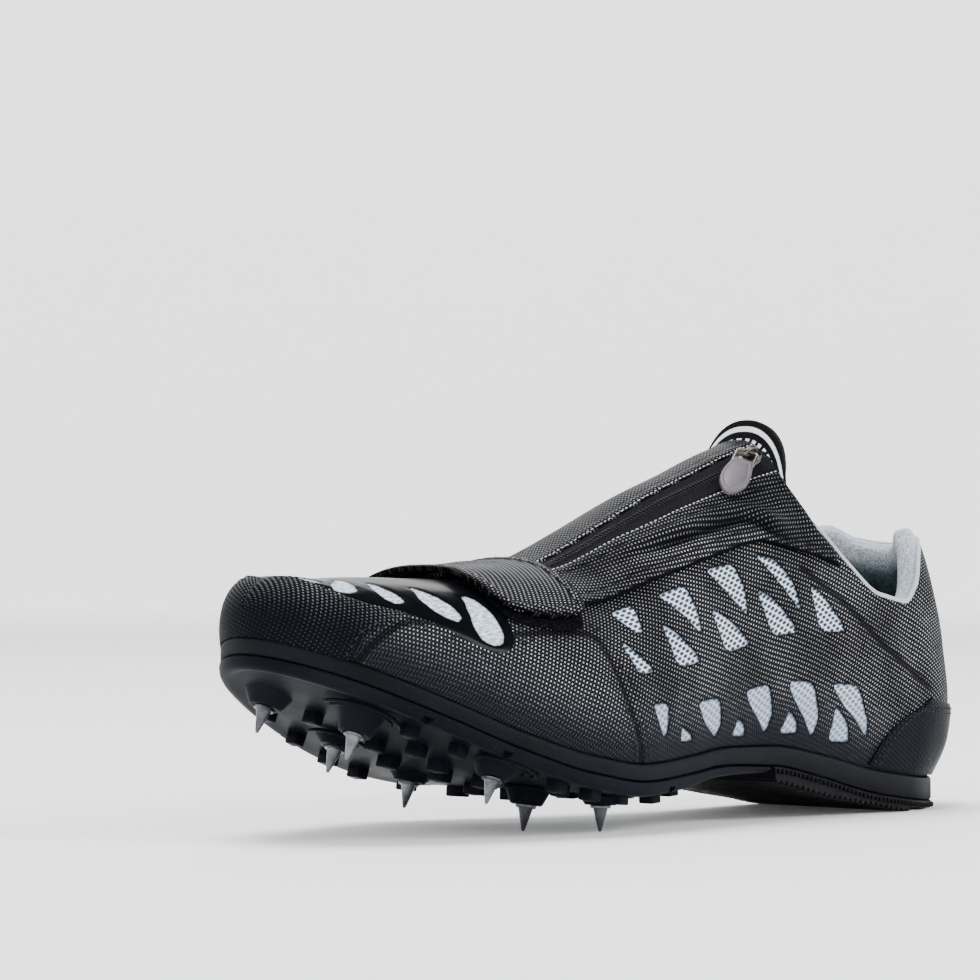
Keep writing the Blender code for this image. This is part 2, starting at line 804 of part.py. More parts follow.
TREAD_FRONT = 0.381
TREAD_LONG = (TREAD_FRONT - 0.04) * LENGTH
TREAD_MIDDLE = -round(TREAD_FRONT * LENGTH / 2 / TREAD_PITCH - HEEL_BACK / TREAD_PITCH) * TREAD_PITCH
TREAD_ROWS = np.concatenate([ROWS[:7], np.linspace(ROWS[7], TREAD_FRONT, 9)])


def tread_floor(s):
    return float(smooth(s, TREAD_FLOOR, 1)) * BALL_STACK


tread = slab(
    "heel_tread",
    TREAD_ROWS,
    4,
    (
        (MIDSOLE_FLANGE * 0.6, lambda x, s: midsole_bottom(s) - FIT_GAP),
        (MIDSOLE_FLANGE, lambda x, s: max(tread_floor(s) + 0.0006, midsole_bottom(s) - FIT_GAP - 0.0008)),
        (MIDSOLE_FLANGE, lambda x, s: tread_floor(s)),
    ),
    (0.012, 0.012, 0.013),
    0.8,
)

bm = bmesh.new()
half_count = int(TREAD_LONG / 2 / TREAD_PITCH)
for i in range(-half_count, half_count + 1):
    x = TREAD_MIDDLE + (i + 0.5) * TREAD_PITCH
    share = (HEEL_BACK - x) / LENGTH
    low = tread_floor(share)
    slope = math.atan2(tread_floor(share + 0.01) - low, 0.01 * LENGTH)
    turn = Matrix.Translation((x, 0.0, low)) @ Matrix.Rotation(slope, 4, "Y")
    size = Matrix.Diagonal((TREAD_CUT, 2 * BALL_WIDTH, 2 * TREAD_DEPTH, 1))
    bmesh.ops.create_cube(bm, size=1.0, matrix=turn @ size)
grooves = keep("tread_grooves", bm)
cut(tread, grooves)

# Zip slider, fixed at the top of the zip, and the pull that turns on its bridge

SLIDER_WAY = 0.920
SLIDER_SHARE = 0.5


def zip_frame():
    """Frame on the tape under the slider: X towards the toe along the zip, Z away from the foot."""
    a = (shroud_edge(SLIDER_WAY, 2) + shroud_edge(SLIDER_WAY, 3)) / 2
    here = shroud_point(SLIDER_WAY, a)
    ahead = shroud_point(SLIDER_WAY - 0.03, a)
    beside = shroud_point(SLIDER_WAY, a + 0.01)
    along = Vector(ahead - here).normalized()
    across = Vector(beside - here)
    normal = along.cross(across).normalized()
    if normal.z < 0:
        normal = -normal
    across = normal.cross(along).normalized()
    top = Vector(here) + normal * (OVERLAY_GAP + ZIP_TAPE)
    turn = Matrix((along, across, normal)).transposed().to_4x4()
    return Matrix.Translation(top) @ turn


ZIP = zip_frame()


def block(bm, size, middle):
    made = bmesh.ops.create_cube(bm, size=1.0, matrix=Matrix.Translation(middle) @ Matrix.Diagonal((*size, 1)))
    return made["verts"]


bm = bmesh.new()
base = 0.00045
block(bm, (SLIDER_LONG, SLIDER_WIDE, SLIDER_HIGH), (0, 0, base + SLIDER_HIGH / 2))
edges = [edge for edge in bm.edges]
bmesh.ops.bevel(bm, geom=edges, offset=0.0006, offset_type="OFFSET", segments=1, profile=0.5, affect="EDGES", material=-1)
bmesh.ops.transform(bm, matrix=ZIP, verts=bm.verts)
slider = keep("zip_slider", bm, (0.45, 0.46, 0.48), 1.0, 0.28)

bm = bmesh.new()
top = base + SLIDER_HIGH
block(bm, (0.0060, BRIDGE_WIRE * 1.3, BRIDGE_HIGH + 0.0004), (-0.0002, 0, top + BRIDGE_HIGH / 2 - 0.0002))
bmesh.ops.transform(bm, matrix=ZIP, verts=bm.verts)
bridge = keep("slider_bridge", bm)
cut(slider, bridge, "UNION")
bm = bmesh.new()
PIVOT = Vector((0.0008, 0.0, top + PULL_HEIGHT))
bmesh.ops.create_cone(
    bm,
    cap_ends=True,
    segments=16,
    radius1=LINK_WIRE / 2 + 0.00025,
    radius2=LINK_WIRE / 2 + 0.00025,
    depth=0.0060,
    matrix=ZIP @ Matrix.Translation(PIVOT) @ Matrix.Rotation(math.radians(PULL_SWING), 4, "Z") @ Matrix.Rotation(math.pi / 2, 4, "X"),
)
eye = keep("slider_eye", bm)
cut(slider, eye)

# The pull's link, a closed wire frame through the bridge's eye, and its plastic tab

PULL_DROP = math.radians(9.5)
PULL_YAW = math.radians(PULL_SWING)
PULL = ZIP @ Matrix.Translation(PIVOT) @ Matrix.Rotation(PULL_YAW, 4, "Z") @ Matrix.Rotation(PULL_DROP, 4, "Y")
hinge = PULL.translation.copy()


def wire_frame(bm, long, wide, wire):
    """Closed rectangular wire frame from x = 0 to x = long."""
    r = wire / 2
    corners = ((0, -wide / 2), (long, -wide / 2), (long, wide / 2), (0, wide / 2))
    rings = []
    for x, y in corners:
        dx = -1 if x == 0 else 1
        dy = -1 if y < 0 else 1
        ring = []
        for i in range(8):
            angle = 2 * math.pi * i / 8 + math.pi / 8
            out = r * math.cos(angle)
            ring.append(bm.verts.new((x + dx * out, y + dy * out, r * math.sin(angle))))
        rings.append(ring)
    for i in range(4):
        a = rings[i]
        b = rings[(i + 1) % 4]
        for j in range(8):
            bm.faces.new((a[j], a[(j + 1) % 8], b[(j + 1) % 8], b[j]))
    bmesh.ops.recalc_face_normals(bm, faces=bm.faces)


def place_pull(name, bm, color, metallic, roughness):
    bmesh.ops.transform(bm, matrix=Matrix.Translation(-hinge) @ PULL, verts=bm.verts)
    made = keep(name, bm, color, metallic, roughness)
    made.location = hinge
    return made


bm = bmesh.new()
wire_frame(bm, LINK_LONG, LINK_WIDE, LINK_WIRE)
link = place_pull("pull_link", bm, (0.45, 0.46, 0.48), 1.0, 0.28)

TAB_ROOT = LINK_LONG - 0.0024
bm = bmesh.new()
outline = []
for i in range(13):
    angle = -math.pi / 2 + math.pi * i / 12
    outline.append((TAB_ROOT + TAB_LONG - TAB_WIDE * 0.42 + TAB_WIDE * 0.42 * math.cos(angle), TAB_WIDE / 2 * math.sin(angle)))
outline.append((TAB_ROOT + 0.0058, TAB_WIDE / 2 * 0.86))
outline.append((TAB_ROOT + 0.0036, 0.0020))
outline.append((TAB_ROOT, 0.0018))
outline.append((TAB_ROOT, -0.0018))
outline.append((TAB_ROOT + 0.0036, -0.0020))
outline.append((TAB_ROOT + 0.0058, -TAB_WIDE / 2 * 0.86))
face = bm.faces.new([bm.verts.new((x, y, -TAB_THICK / 2)) for x, y in outline])
made = bmesh.ops.extrude_face_region(bm, geom=[face])
raised = [item for item in made["geom"] if isinstance(item, bmesh.types.BMVert)]
bmesh.ops.translate(bm, vec=(0, 0, TAB_THICK), verts=raised)
bmesh.ops.recalc_face_normals(bm, faces=bm.faces)
tab = place_pull("pull_tab", bm, (0.50, 0.48, 0.53), 0.0, 0.45)

bm = bmesh.new()
bmesh.ops.create_cone(
    bm,
    cap_ends=True,
    segments=16,
    radius1=LINK_WIRE / 2 + 0.0002,
    radius2=LINK_WIRE / 2 + 0.0002,
    depth=0.0080,
    matrix=PULL @ Matrix.Translation((LINK_LONG, 0, 0)) @ Matrix.Rotation(math.pi / 2, 4, "X"),
)
tunnel = keep("tab_tunnel", bm)
cut(tab, tunnel)
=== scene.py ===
# Track spike shoe, left foot, dressed in its cloth, film, thread, rubber, nylon and steel.

import math

import bmesh
import bpy
import numpy as np
from mathutils import Matrix
from mathutils import Vector


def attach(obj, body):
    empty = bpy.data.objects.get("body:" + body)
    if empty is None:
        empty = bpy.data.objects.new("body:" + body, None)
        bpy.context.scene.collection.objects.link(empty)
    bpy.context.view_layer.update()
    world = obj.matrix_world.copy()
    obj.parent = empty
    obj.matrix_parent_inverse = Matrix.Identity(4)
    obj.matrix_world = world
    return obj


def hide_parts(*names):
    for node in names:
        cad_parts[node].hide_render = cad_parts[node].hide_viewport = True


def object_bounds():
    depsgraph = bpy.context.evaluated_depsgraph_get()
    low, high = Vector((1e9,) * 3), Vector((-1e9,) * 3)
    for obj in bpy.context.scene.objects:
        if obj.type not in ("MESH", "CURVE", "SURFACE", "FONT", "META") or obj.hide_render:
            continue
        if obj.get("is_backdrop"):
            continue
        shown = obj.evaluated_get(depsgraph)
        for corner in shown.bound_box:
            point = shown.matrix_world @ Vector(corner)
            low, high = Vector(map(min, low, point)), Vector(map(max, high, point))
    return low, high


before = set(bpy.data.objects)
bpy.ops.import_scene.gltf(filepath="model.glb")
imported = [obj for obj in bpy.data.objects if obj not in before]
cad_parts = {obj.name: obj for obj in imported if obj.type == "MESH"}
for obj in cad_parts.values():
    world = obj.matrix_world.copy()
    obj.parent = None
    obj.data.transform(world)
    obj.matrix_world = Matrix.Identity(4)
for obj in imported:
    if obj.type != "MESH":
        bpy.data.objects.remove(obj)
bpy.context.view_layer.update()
scene = bpy.context.scene

# Camera
# A long lens, low down and in front of the outer side, as the photograph was taken.

camera_data = bpy.data.cameras.new("photo_camera")
camera_data.lens = 177.36
camera_data.sensor_width = 36.0
camera = bpy.data.objects.new("photo_camera", camera_data)
scene.collection.objects.link(camera)
camera.location = (-1.1331, -0.9477, 0.0864)
aim = Vector((-0.1653, 0.0, 0.0952)) - camera.location
camera.rotation_euler = aim.to_track_quat("-Z", "Y").to_euler()
scene.camera = camera

# Floor
# A wide pale studio floor whose rim sweeps up all round, so that no horizon shows.

FLOOR_RADIUS = 3.4
SWEEP = 1.6
SWEEP_STEPS = 8
WALL_HEIGHT = 1.5


def lathe(bm, outline, steps):
    """Turn an outline of radii and heights round Z, and give back the new points."""
    before = set(bm.verts)
    points = [bm.verts.new((radius, 0.0, rise)) for radius, rise in outline]
    edges = [bm.edges.new(pair) for pair in zip(points[:-1], points[1:])]
    bmesh.ops.spin(
        bm,
        geom=points + edges,
        cent=(0, 0, 0),
        axis=(0, 0, 1),
        angle=2 * math.pi,
        steps=steps,
        use_merge=True,
    )
    return [vert for vert in bm.verts if vert not in before]


bm = bmesh.new()
profile = [(0.0, 0.0), (0.6, 0.0), (FLOOR_RADIUS, 0.0)]
for step in range(1, SWEEP_STEPS + 1):
    turn = math.pi / 2 * step / SWEEP_STEPS
    profile.append((FLOOR_RADIUS + SWEEP * math.sin(turn), SWEEP * (1 - math.cos(turn))))
profile.append((FLOOR_RADIUS + SWEEP, SWEEP + WALL_HEIGHT))
lathe(bm, profile, 96)
bmesh.ops.remove_doubles(bm, verts=bm.verts, dist=0.0001)
bmesh.ops.recalc_face_normals(bm, faces=bm.faces)
floor_mesh = bpy.data.meshes.new("studio_floor")
bm.to_mesh(floor_mesh)
bm.free()
floor = bpy.data.objects.new("studio_floor", floor_mesh)
scene.collection.objects.link(floor)
floor.data.shade_smooth()

# The floor glows far out, and hardly at all round the shoe, where its shadow falls.
floor_paint = bpy.data.materials.new("floor_paint")
floor_paint.use_nodes = True
tree = floor_paint.node_tree
shader = tree.nodes["Principled BSDF"]
shader.inputs["Base Color"].default_value = (0.90, 0.91, 0.92, 1)
shader.inputs["Roughness"].default_value = 0.75
shader.inputs["Specular IOR Level"].default_value = 0.2
shader.inputs["Emission Strength"].default_value = 1.25
place = tree.nodes.new("ShaderNodeTexCoord")
nearby = tree.nodes.new("ShaderNodeMapping")
nearby.inputs["Scale"].default_value = (0.30, 0.30, 0.30)
middle = tree.nodes.new("ShaderNodeTexGradient")
middle.gradient_type = "SPHERICAL"
glow = tree.nodes.new("ShaderNodeValToRGB")
glow.color_ramp.elements[0].color = (1.0, 1.0, 1.0, 1)
glow.color_ramp.elements[1].color = (0.02, 0.02, 0.02, 1)
tree.links.new(place.outputs["Object"], nearby.inputs["Vector"])
tree.links.new(nearby.outputs[0], middle.inputs["Vector"])
tree.links.new(middle.outputs["Fac"], glow.inputs["Fac"])
tree.links.new(glow.outputs["Color"], shader.inputs["Emission Color"])
floor.data.materials.append(floor_paint)
floor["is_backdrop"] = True

# Light
# Four soft boxes: overhead, to the camera's right, over the toe and behind the heel. The
# room itself gives only a little pale light.

world = bpy.data.worlds.new("studio")
scene.world = world
world.use_nodes = True
world.node_tree.nodes["Background"].inputs["Color"].default_value = (0.93, 0.96, 1.0, 1)
world.node_tree.nodes["Background"].inputs["Strength"].default_value = 0.08


def soft_box(name, place, target, size, power):
    data = bpy.data.lights.new(name, "AREA")
    data.shape = "RECTANGLE"
    data.size = size[0]
    data.size_y = size[1]
    data.energy = power
    made = bpy.data.objects.new(name, data)
    scene.collection.objects.link(made)
    made.location = place
    made.rotation_euler = (Vector(target) - Vector(place)).to_track_quat("-Z", "Y").to_euler()


soft_box("top_box", (-0.20, 0.25, 1.50), (-0.12, 0.0, 0.05), (0.9, 0.9), 38.0)
soft_box("side_box", (0.55, -1.65, 1.15), (-0.10, 0.0, 0.06), (0.9, 0.7), 34.0)
soft_box("toe_box", (-1.75, 0.25, 1.15), (-0.15, 0.0, 0.05), (0.6, 0.6), 7.0)
soft_box("rear_box", (0.95, 1.20, 1.10), (-0.08, 0.0, 0.08), (0.8, 0.8), 8.0)

# Upper
# One woven shell on the last, hollow and open at the collar and throat. The weave
# shows mesh windows through cut-outs on the quarter, and a gloss film with leaf
# cut-outs is pressed on over the toes.

LENGTH = 0.2770
HEEL_BACK = 0.0220
BALL_WIDTH = 0.097
INSTEP_HEIGHT = 0.084
HEEL_HEIGHT = 0.075
BALL_STACK = 0.0195
TOE_SPRING = 0.036
HEEL_ROUND = 0.036
TOE_ROUND = 0.110
TOE_NOSE = 0.013
LEAN_REACH = 0.050
UPPER_WALL = 0.0013
FILM_LIFT = 0.00028
WINDOW_SINK = 0.00040
FOOT_MIDDLE = 0.045

# Sections of the last: share of the length, half width, centre, feather stack,
# toe spring, ridge, widest height, both feather widths, fullness.
SECTIONS = (
    (0.000, 0.312, 0.000, 0.46, 0.000, 1.300, 0.27, 0.86, 0.86, 0.90),
    (0.080, 0.312, 0.000, 0.49, 0.000, 1.290, 0.26, 0.88, 0.88, 0.88),
    (0.180, 0.320, -0.008, 0.62, 0.000, 1.220, 0.22, 0.92, 0.90, 0.84),
    (0.300, 0.334, -0.022, 0.95, 0.000, 1.075, 0.17, 0.92, 0.82, 0.86),
    (0.380, 0.345, -0.028, 1.12, 0.000, 0.955, 0.15, 0.92, 0.78, 0.90),
    (0.460, 0.375, -0.028, 1.14, 0.000, 0.855, 0.12, 0.92, 0.80, 0.92),
    (0.540, 0.425, -0.020, 1.05, 0.000, 0.755, 0.10, 0.94, 0.86, 0.90),
    (0.620, 0.475, -0.005, 0.98, 0.005, 0.655, 0.10, 0.96, 0.92, 0.86),
    (0.700, 0.500, 0.000, 0.99, 0.090, 0.575, 0.09, 0.96, 0.95, 0.80),
    (0.780, 0.500, 0.006, 1.00, 0.270, 0.490, 0.08, 0.97, 0.96, 0.76),
    (0.860, 0.500, 0.016, 1.00, 0.530, 0.385, 0.07, 0.97, 0.97, 0.72),
    (0.930, 0.500, 0.026, 1.00, 0.770, 0.280, 0.06, 0.97, 0.97, 0.70),
    (1.000, 0.500, 0.036, 1.00, 1.000, 0.210, 0.05, 0.97, 0.97, 0.70),
)
HEEL_LEAN = (
    (0.00, -0.100),
    (0.16, -0.018),
    (0.32, 0.000),
    (0.50, -0.025),
    (0.66, -0.055),
    (0.88, -0.115),
    (1.00, -0.165),
    (1.50, -0.300),
)
COLLAR = (
    (0.000, 0.532, 0.532),
    (0.018, 0.543, 0.543),
    (0.040, 0.540, 0.546),
    (0.080, 0.508, 0.530),
    (0.115, 0.440, 0.500),
    (0.145, 0.404, 0.474),
    (0.190, 0.418, 0.462),
    (0.240, 0.488, 0.500),
    (0.290, 0.600, 0.610),
    (0.340, 0.700, 0.700),
    (0.450, 0.790, 0.790),
    (0.580, 0.850, 0.850),
    (0.640, 0.915, 0.915),
    (0.680, 1.000, 1.000),
)


def smooth(at, table, column, key=0):
    """Monotone cubic through one column of a table."""
    x = np.array([row[key] for row in table], float)
    y = np.array([row[column] for row in table], float)
    h = np.diff(x)
    d = np.diff(y) / h
    m = np.zeros_like(y)
    m[0] = d[0]
    m[-1] = d[-1]
    for i in range(1, len(x) - 1):
        if d[i - 1] * d[i] > 0:
            w1 = 2 * h[i] + h[i - 1]
            w2 = h[i] + 2 * h[i - 1]
            m[i] = (w1 + w2) / (w1 / d[i - 1] + w2 / d[i])
    at = np.clip(np.asarray(at, float), x[0], x[-1])
    i = np.clip(np.searchsorted(x, at) - 1, 0, len(h) - 1)
    t = (at - x[i]) / h[i]
    low = (2 * t**3 - 3 * t**2 + 1) * y[i] + (t**3 - 2 * t**2 + t) * h[i] * m[i]
    high = (3 * t**2 - 2 * t**3) * y[i + 1] + (t**3 - t**2) * h[i] * m[i + 1]
    return low + high


def rounding(distance, radius):
    k = np.clip(1 - distance / radius, 0, 1)
    return np.sqrt(np.clip(1 - k * k, 0, 1))


def feather_height(s):
    return smooth(s, SECTIONS, 3) * BALL_STACK + smooth(s, SECTIONS, 4) * TOE_SPRING


def last(s, a):
    """Point of the foot's form: s from heel to toe, a from outer to inner feather line."""
    s = np.asarray(s, float)
    a = np.asarray(a, float)
    from_toe = (1 - s) * LENGTH
    half = smooth(s, SECTIONS, 1) * BALL_WIDTH
    half = half * rounding(s * LENGTH, HEEL_ROUND) * rounding(from_toe, TOE_ROUND)
    centre = smooth(s, SECTIONS, 2) * BALL_WIDTH
    rise = smooth(s, SECTIONS, 5) * INSTEP_HEIGHT * (0.42 + 0.58 * rounding(from_toe, TOE_NOSE))
    wide = np.minimum(smooth(s, SECTIONS, 6) * INSTEP_HEIGHT, 0.45 * rise)
    share = np.where(a < 0.5, smooth(s, SECTIONS, 7), smooth(s, SECTIONS, 8))
    full = smooth(s, SECTIONS, 9)
    low = np.arccos(share)
    angle = -low + (math.pi / 2 + low) * (1 - np.abs(2 * a - 1))
    c = np.clip(np.cos(angle), 0, 1)
    across = np.where(angle < 0, c, c**full) * half
    up = np.where(angle < 0, wide * (1 + np.sin(angle) / np.sin(low)), wide + (rise - wide) * np.sin(angle))
    near = np.clip(1 - s * LENGTH / LEAN_REACH, 0, 1)
    near = near * near * (3 - 2 * near)
    lean = smooth(up / HEEL_HEIGHT, HEEL_LEAN, 1) * HEEL_HEIGHT * near
    x = HEEL_BACK - s * LENGTH + lean
    y = centre + np.where(a < 0.5, -across, across)
    return np.stack([x, y, feather_height(s) + up], -1)


def raised(s, a, height):
    """Point of the last raised by a height along its normal."""
    s = np.asarray(s, float)
    a = np.asarray(a, float)
    step = 0.0015
    along = last(np.clip(s + step, 0, 1), a) - last(np.clip(s - step, 0, 1), a)
    around = last(s, np.clip(a + step, 0, 1)) - last(s, np.clip(a - step, 0, 1))
    normal = np.cross(around, along)
    ends = (s <= 0) | (s >= 1)
    normal[..., 1] = np.where(ends, 0.0, normal[..., 1])
    normal = normal / (np.linalg.norm(normal, axis=-1, keepdims=True) + 1e-12)
    return last(s, a) + normal * np.broadcast_to(height, s.shape)[..., None]


# The cloth as it was before it was lasted: its length from the waist, and across from the ridge.
PLAN_S = 240
PLAN_A = 160
plan_knots = (1 - np.cos(np.linspace(0, math.pi, PLAN_S + 1))) / 2
plan_s, plan_a = np.meshgrid(plan_knots, np.linspace(0, 1, PLAN_A + 1), indexing="ij")
plan_points = last(plan_s, plan_a)
plan_steps = np.linalg.norm(np.diff(plan_points, axis=1), axis=2)
PLAN_ACROSS = np.concatenate([np.zeros((PLAN_S + 1, 1)), np.cumsum(plan_steps, axis=1)], axis=1)
PLAN_ACROSS = PLAN_ACROSS - PLAN_ACROSS[:, PLAN_A // 2 : PLAN_A // 2 + 1]
plan_steps = np.linalg.norm(np.diff(plan_points, axis=0), axis=2)
PLAN_ALONG = np.concatenate([np.zeros((1, PLAN_A + 1)), np.cumsum(plan_steps, axis=0)], axis=0)
PLAN_ALONG = PLAN_ALONG - PLAN_ALONG[PLAN_S // 2 : PLAN_S // 2 + 1]


def flat(s, a):
    """Place on the flat cloth, in metres."""
    s = np.clip(np.asarray(s, float), 0, 1)
    i = np.clip(np.arccos(1 - 2 * s) / math.pi * PLAN_S, 0, PLAN_S - 1e-6)
    j = np.clip(np.asarray(a, float) * PLAN_A, 0, PLAN_A - 1e-6)
    i0 = i.astype(int)
    j0 = j.astype(int)
    di = i - i0
    dj = j - j0
    found = []
    for table in (PLAN_ALONG, PLAN_ACROSS):
        near = table[i0, j0] * (1 - dj) + table[i0, j0 + 1] * dj
        far = table[i0 + 1, j0] * (1 - dj) + table[i0 + 1, j0 + 1] * dj
        found.append(near * (1 - di) + far * di)
    return np.stack(found, -1)


def eased(outline, share=0.13, times=3):
    """Closed outline with its corners rounded."""
    outline = np.array(outline, float)
    for _ in range(times):
        following = np.roll(outline, -1, axis=0)
        near = outline + (following - outline) * share
        far = following + (outline - following) * share
        outline = np.stack([near, far], 1).reshape(-1, 2)
    return outline


def distance(points, outline, closed=True):
    """Distance on the flat cloth from points to an outline, below zero inside a closed one."""
    best = np.full(len(points), 1.0)
    inside = np.zeros(len(points), bool)
    following = np.roll(outline, -1, axis=0)
    pairs = list(zip(outline, following))
    for first, second in pairs if closed else pairs[:-1]:
        edge = second - first
        away = points - first
        share = np.clip(away @ edge / (edge @ edge + 1e-15), 0, 1)
        best = np.minimum(best, np.linalg.norm(away - share[:, None] * edge, axis=1))
        if closed:
            crosses = (first[1] > points[:, 1]) != (second[1] > points[:, 1])
            slope = edge[0] / (edge[1] if edge[1] else 1e-12)
            inside ^= crosses & (points[:, 0] < first[0] + (points[:, 1] - first[1]) * slope)
    return np.where(inside, -best, best)


def outer_half(s, a):
    """The same place on the outer half, so that both sides share one set of patterns."""
    return flat(s, 0.5 - np.abs(np.asarray(a, float) - 0.5))


# Cut-outs of the quarter: corners as shares of length and girth. Their two rows
# leave a plain straight band between them.
BAND_TOP = 0.174
BAND_LOW = 0.124
QUARTER_WINDOWS = (
    ((0.632, 0.297), (0.594, 0.295), (0.598, 0.242), (0.609, 0.242)),
    ((0.640, 0.246), (0.598, BAND_TOP), (0.626, BAND_TOP)),
    ((0.558, 0.291), (0.512, 0.285), (0.506, 0.240), (0.508, 0.206), (0.530, 0.245)),
    ((0.568, 0.246), (0.548, 0.222), (0.516, BAND_TOP), (0.560, BAND_TOP)),
    ((0.475, 0.289), (0.428, 0.279), (0.420, 0.240), (0.424, 0.206), (0.450, 0.245)),
    ((0.484, 0.236), (0.460, 0.216), (0.424, BAND_TOP), (0.472, BAND_TOP)),
    ((0.393, 0.279), (0.362, 0.262), (0.338, 0.228), (0.332, 0.194), (0.362, 0.232)),
    ((0.402, 0.236), (0.376, 0.216), (0.340, BAND_TOP), (0.386, BAND_TOP)),
    ((0.312, 0.226), (0.290, 0.212), (0.254, BAND_TOP), (0.303, BAND_TOP)),
    ((0.612, BAND_LOW), (0.584, BAND_LOW), (0.588, 0.086), (0.592, 0.062), (0.602, 0.090)),
    ((0.562, 0.094), (0.545, 0.070), (0.542, 0.050), (0.563, 0.050)),
    ((0.532, BAND_LOW), (0.489, BAND_LOW), (0.488, 0.080), (0.495, 0.040), (0.512, 0.076)),
    ((0.455, 0.084), (0.441, 0.060), (0.437, 0.029), (0.461, 0.031)),
    ((0.442, BAND_LOW), (0.395, BAND_LOW), (0.392, 0.075), (0.401, 0.030), (0.420, 0.078)),
    ((0.362, 0.084), (0.348, 0.060), (0.345, 0.034), (0.375, 0.028)),
    ((0.366, BAND_LOW), (0.318, BAND_LOW), (0.310, 0.078), (0.319, 0.030), (0.340, 0.078)),
    ((0.281, 0.106), (0.258, 0.072), (0.253, 0.038), (0.290, 0.030)),
    ((0.290, BAND_LOW), (0.238, BAND_LOW), (0.222, 0.085), (0.222, 0.052), (0.250, 0.088)),
)
LEAF_WINDOWS = (
    ((0.962, 0.478), (0.951, 0.440), (0.944, 0.392), (0.952, 0.380), (0.963, 0.420)),
    (
        (0.904, 0.487),
        (0.911, 0.420),
        (0.919, 0.347),
        (0.932, 0.321),
        (0.945, 0.325),
        (0.939, 0.387),
        (0.918, 0.45),
    ),
    (
        (0.892, 0.425),
        (0.887, 0.359),
        (0.882, 0.313),
        (0.884, 0.291),
        (0.896, 0.286),
        (0.902, 0.315),
        (0.902, 0.365),
    ),
    (
        (0.857, 0.385),
        (0.840, 0.331),
        (0.832, 0.295),
        (0.830, 0.265),
        (0.837, 0.243),
        (0.849, 0.250),
        (0.860, 0.275),
        (0.864, 0.318),
    ),
    (
        (0.806, 0.360),
        (0.794, 0.339),
        (0.790, 0.289),
        (0.791, 0.230),
        (0.797, 0.203),
        (0.808, 0.193),
        (0.820, 0.199),
        (0.823, 0.238),
        (0.818, 0.290),
    ),
)
FILM = (
    (0.988, 0.520),
    (0.976, 0.470),
    (0.962, 0.405),
    (0.950, 0.345),
    (0.936, 0.288),
    (0.912, 0.262),
    (0.887, 0.248),
    (0.860, 0.216),
    (0.838, 0.190),
    (0.818, 0.176),
    (0.802, 0.178),
    (0.789, 0.192),
    (0.780, 0.225),
    (0.776, 0.270),
    (0.774, 0.330),
    (0.770, 0.420),
    (0.766, 0.530),
)
SEAMS = (
    (
        (0.778, 0.236),
        (0.737, 0.257),
        (0.698, 0.262),
        (0.678, 0.256),
        (0.666, 0.238),
        (0.663, 0.212),
        (0.657, 0.168),
        (0.647, 0.110),
        (0.635, 0.050),
        (0.627, 0.000),
    ),
    ((0.322, 0.246), (0.296, 0.226), (0.256, 0.204), (0.200, 0.166), (0.142, 0.140), (0.105, 0.130)),
    ((0.872, 0.226), (0.890, 0.216), (0.900, 0.200), (0.918, 0.148), (0.933, 0.072), (0.942, 0.000)),
)
# Soft creases: from and to, as shares, then half width and depth (below zero a ridge).
CREASES = (
    (0.668, 0.270, 0.640, 0.090, 0.0045, 0.00070),
    (0.648, 0.230, 0.622, 0.070, 0.0040, -0.00045),
    (0.720, 0.190, 0.690, 0.060, 0.0060, 0.00050),
    (0.752, 0.210, 0.735, 0.080, 0.0050, -0.00030),
    (0.600, 0.060, 0.560, 0.020, 0.0040, 0.00040),
    (0.500, 0.030, 0.420, 0.012, 0.0030, 0.00035),
    (0.250, 0.050, 0.180, 0.030, 0.0030, 0.00030),
    (0.160, 0.190, 0.110, 0.120, 0.0040, 0.00050),
    (0.130, 0.215, 0.075, 0.185, 0.0035, 0.00040),
    (0.080, 0.240, 0.045, 0.170, 0.0040, -0.00035),
    (0.310, 0.215, 0.235, 0.190, 0.0050, 0.00035),
)


def flat_line(corners, times=0):
    line = np.array(corners, float)
    if times:
        line = eased(line, times=times)
    return outer_half(line[:, 0], line[:, 1])


def creased(s, a, creases):
    """Depth of soft creases at a place on the outer half."""
    here = outer_half(s, a)
    depth = np.zeros(len(here))
    for s0, a0, s1, a1, half, deep in creases:
        first = outer_half(s0, a0)
        edge = outer_half(s1, a1) - first
        share = np.clip((here - first) @ edge / (edge @ edge), -0.2, 1.2)
        away = np.linalg.norm(here - first - share[:, None] * edge, axis=1)
        fade = np.clip(1.2 - np.abs(2 * share - 1), 0, 1)
        depth -= deep * np.exp(-((away / half) ** 2)) * fade * fade * (3 - 2 * fade)
    return depth


def nearest(here, outlines):
    best = np.full(len(here), 1.0)
    for outline in outlines:
        best = np.minimum(best, distance(here, outline))
    return best


QUARTER_OUTLINES = [flat_line(window, 3) for window in QUARTER_WINDOWS]
LEAF_OUTLINES = [flat_line(window, 3) for window in LEAF_WINDOWS]
film_corners = eased(np.array(FILM), 0.2, 2)
FILM_OUTLINE = flat(film_corners[:, 0], film_corners[:, 1])


def upper_marks(s, a):
    """Distances to the windows, the film's edge, the seams and the feather line."""
    here = outer_half(s, a)
    quarter = nearest(here, QUARTER_OUTLINES)
    leaf = nearest(here, LEAF_OUTLINES)
    film = distance(here, FILM_OUTLINE)
    seam = np.full(len(here), 1.0)
    for line in SEAMS:
        seam = np.minimum(seam, distance(here, flat_line(line), closed=False))
    rise = here[:, 1] - flat(s, np.zeros(len(here)))[:, 1]
    return {"quarter": quarter, "leaf": leaf, "film": film, "seam": seam, "rise": rise}


def ramp(value, low, high):
    t = np.clip((value - low) / (high - low), 0, 1)
    return t * t * (3 - 2 * t)


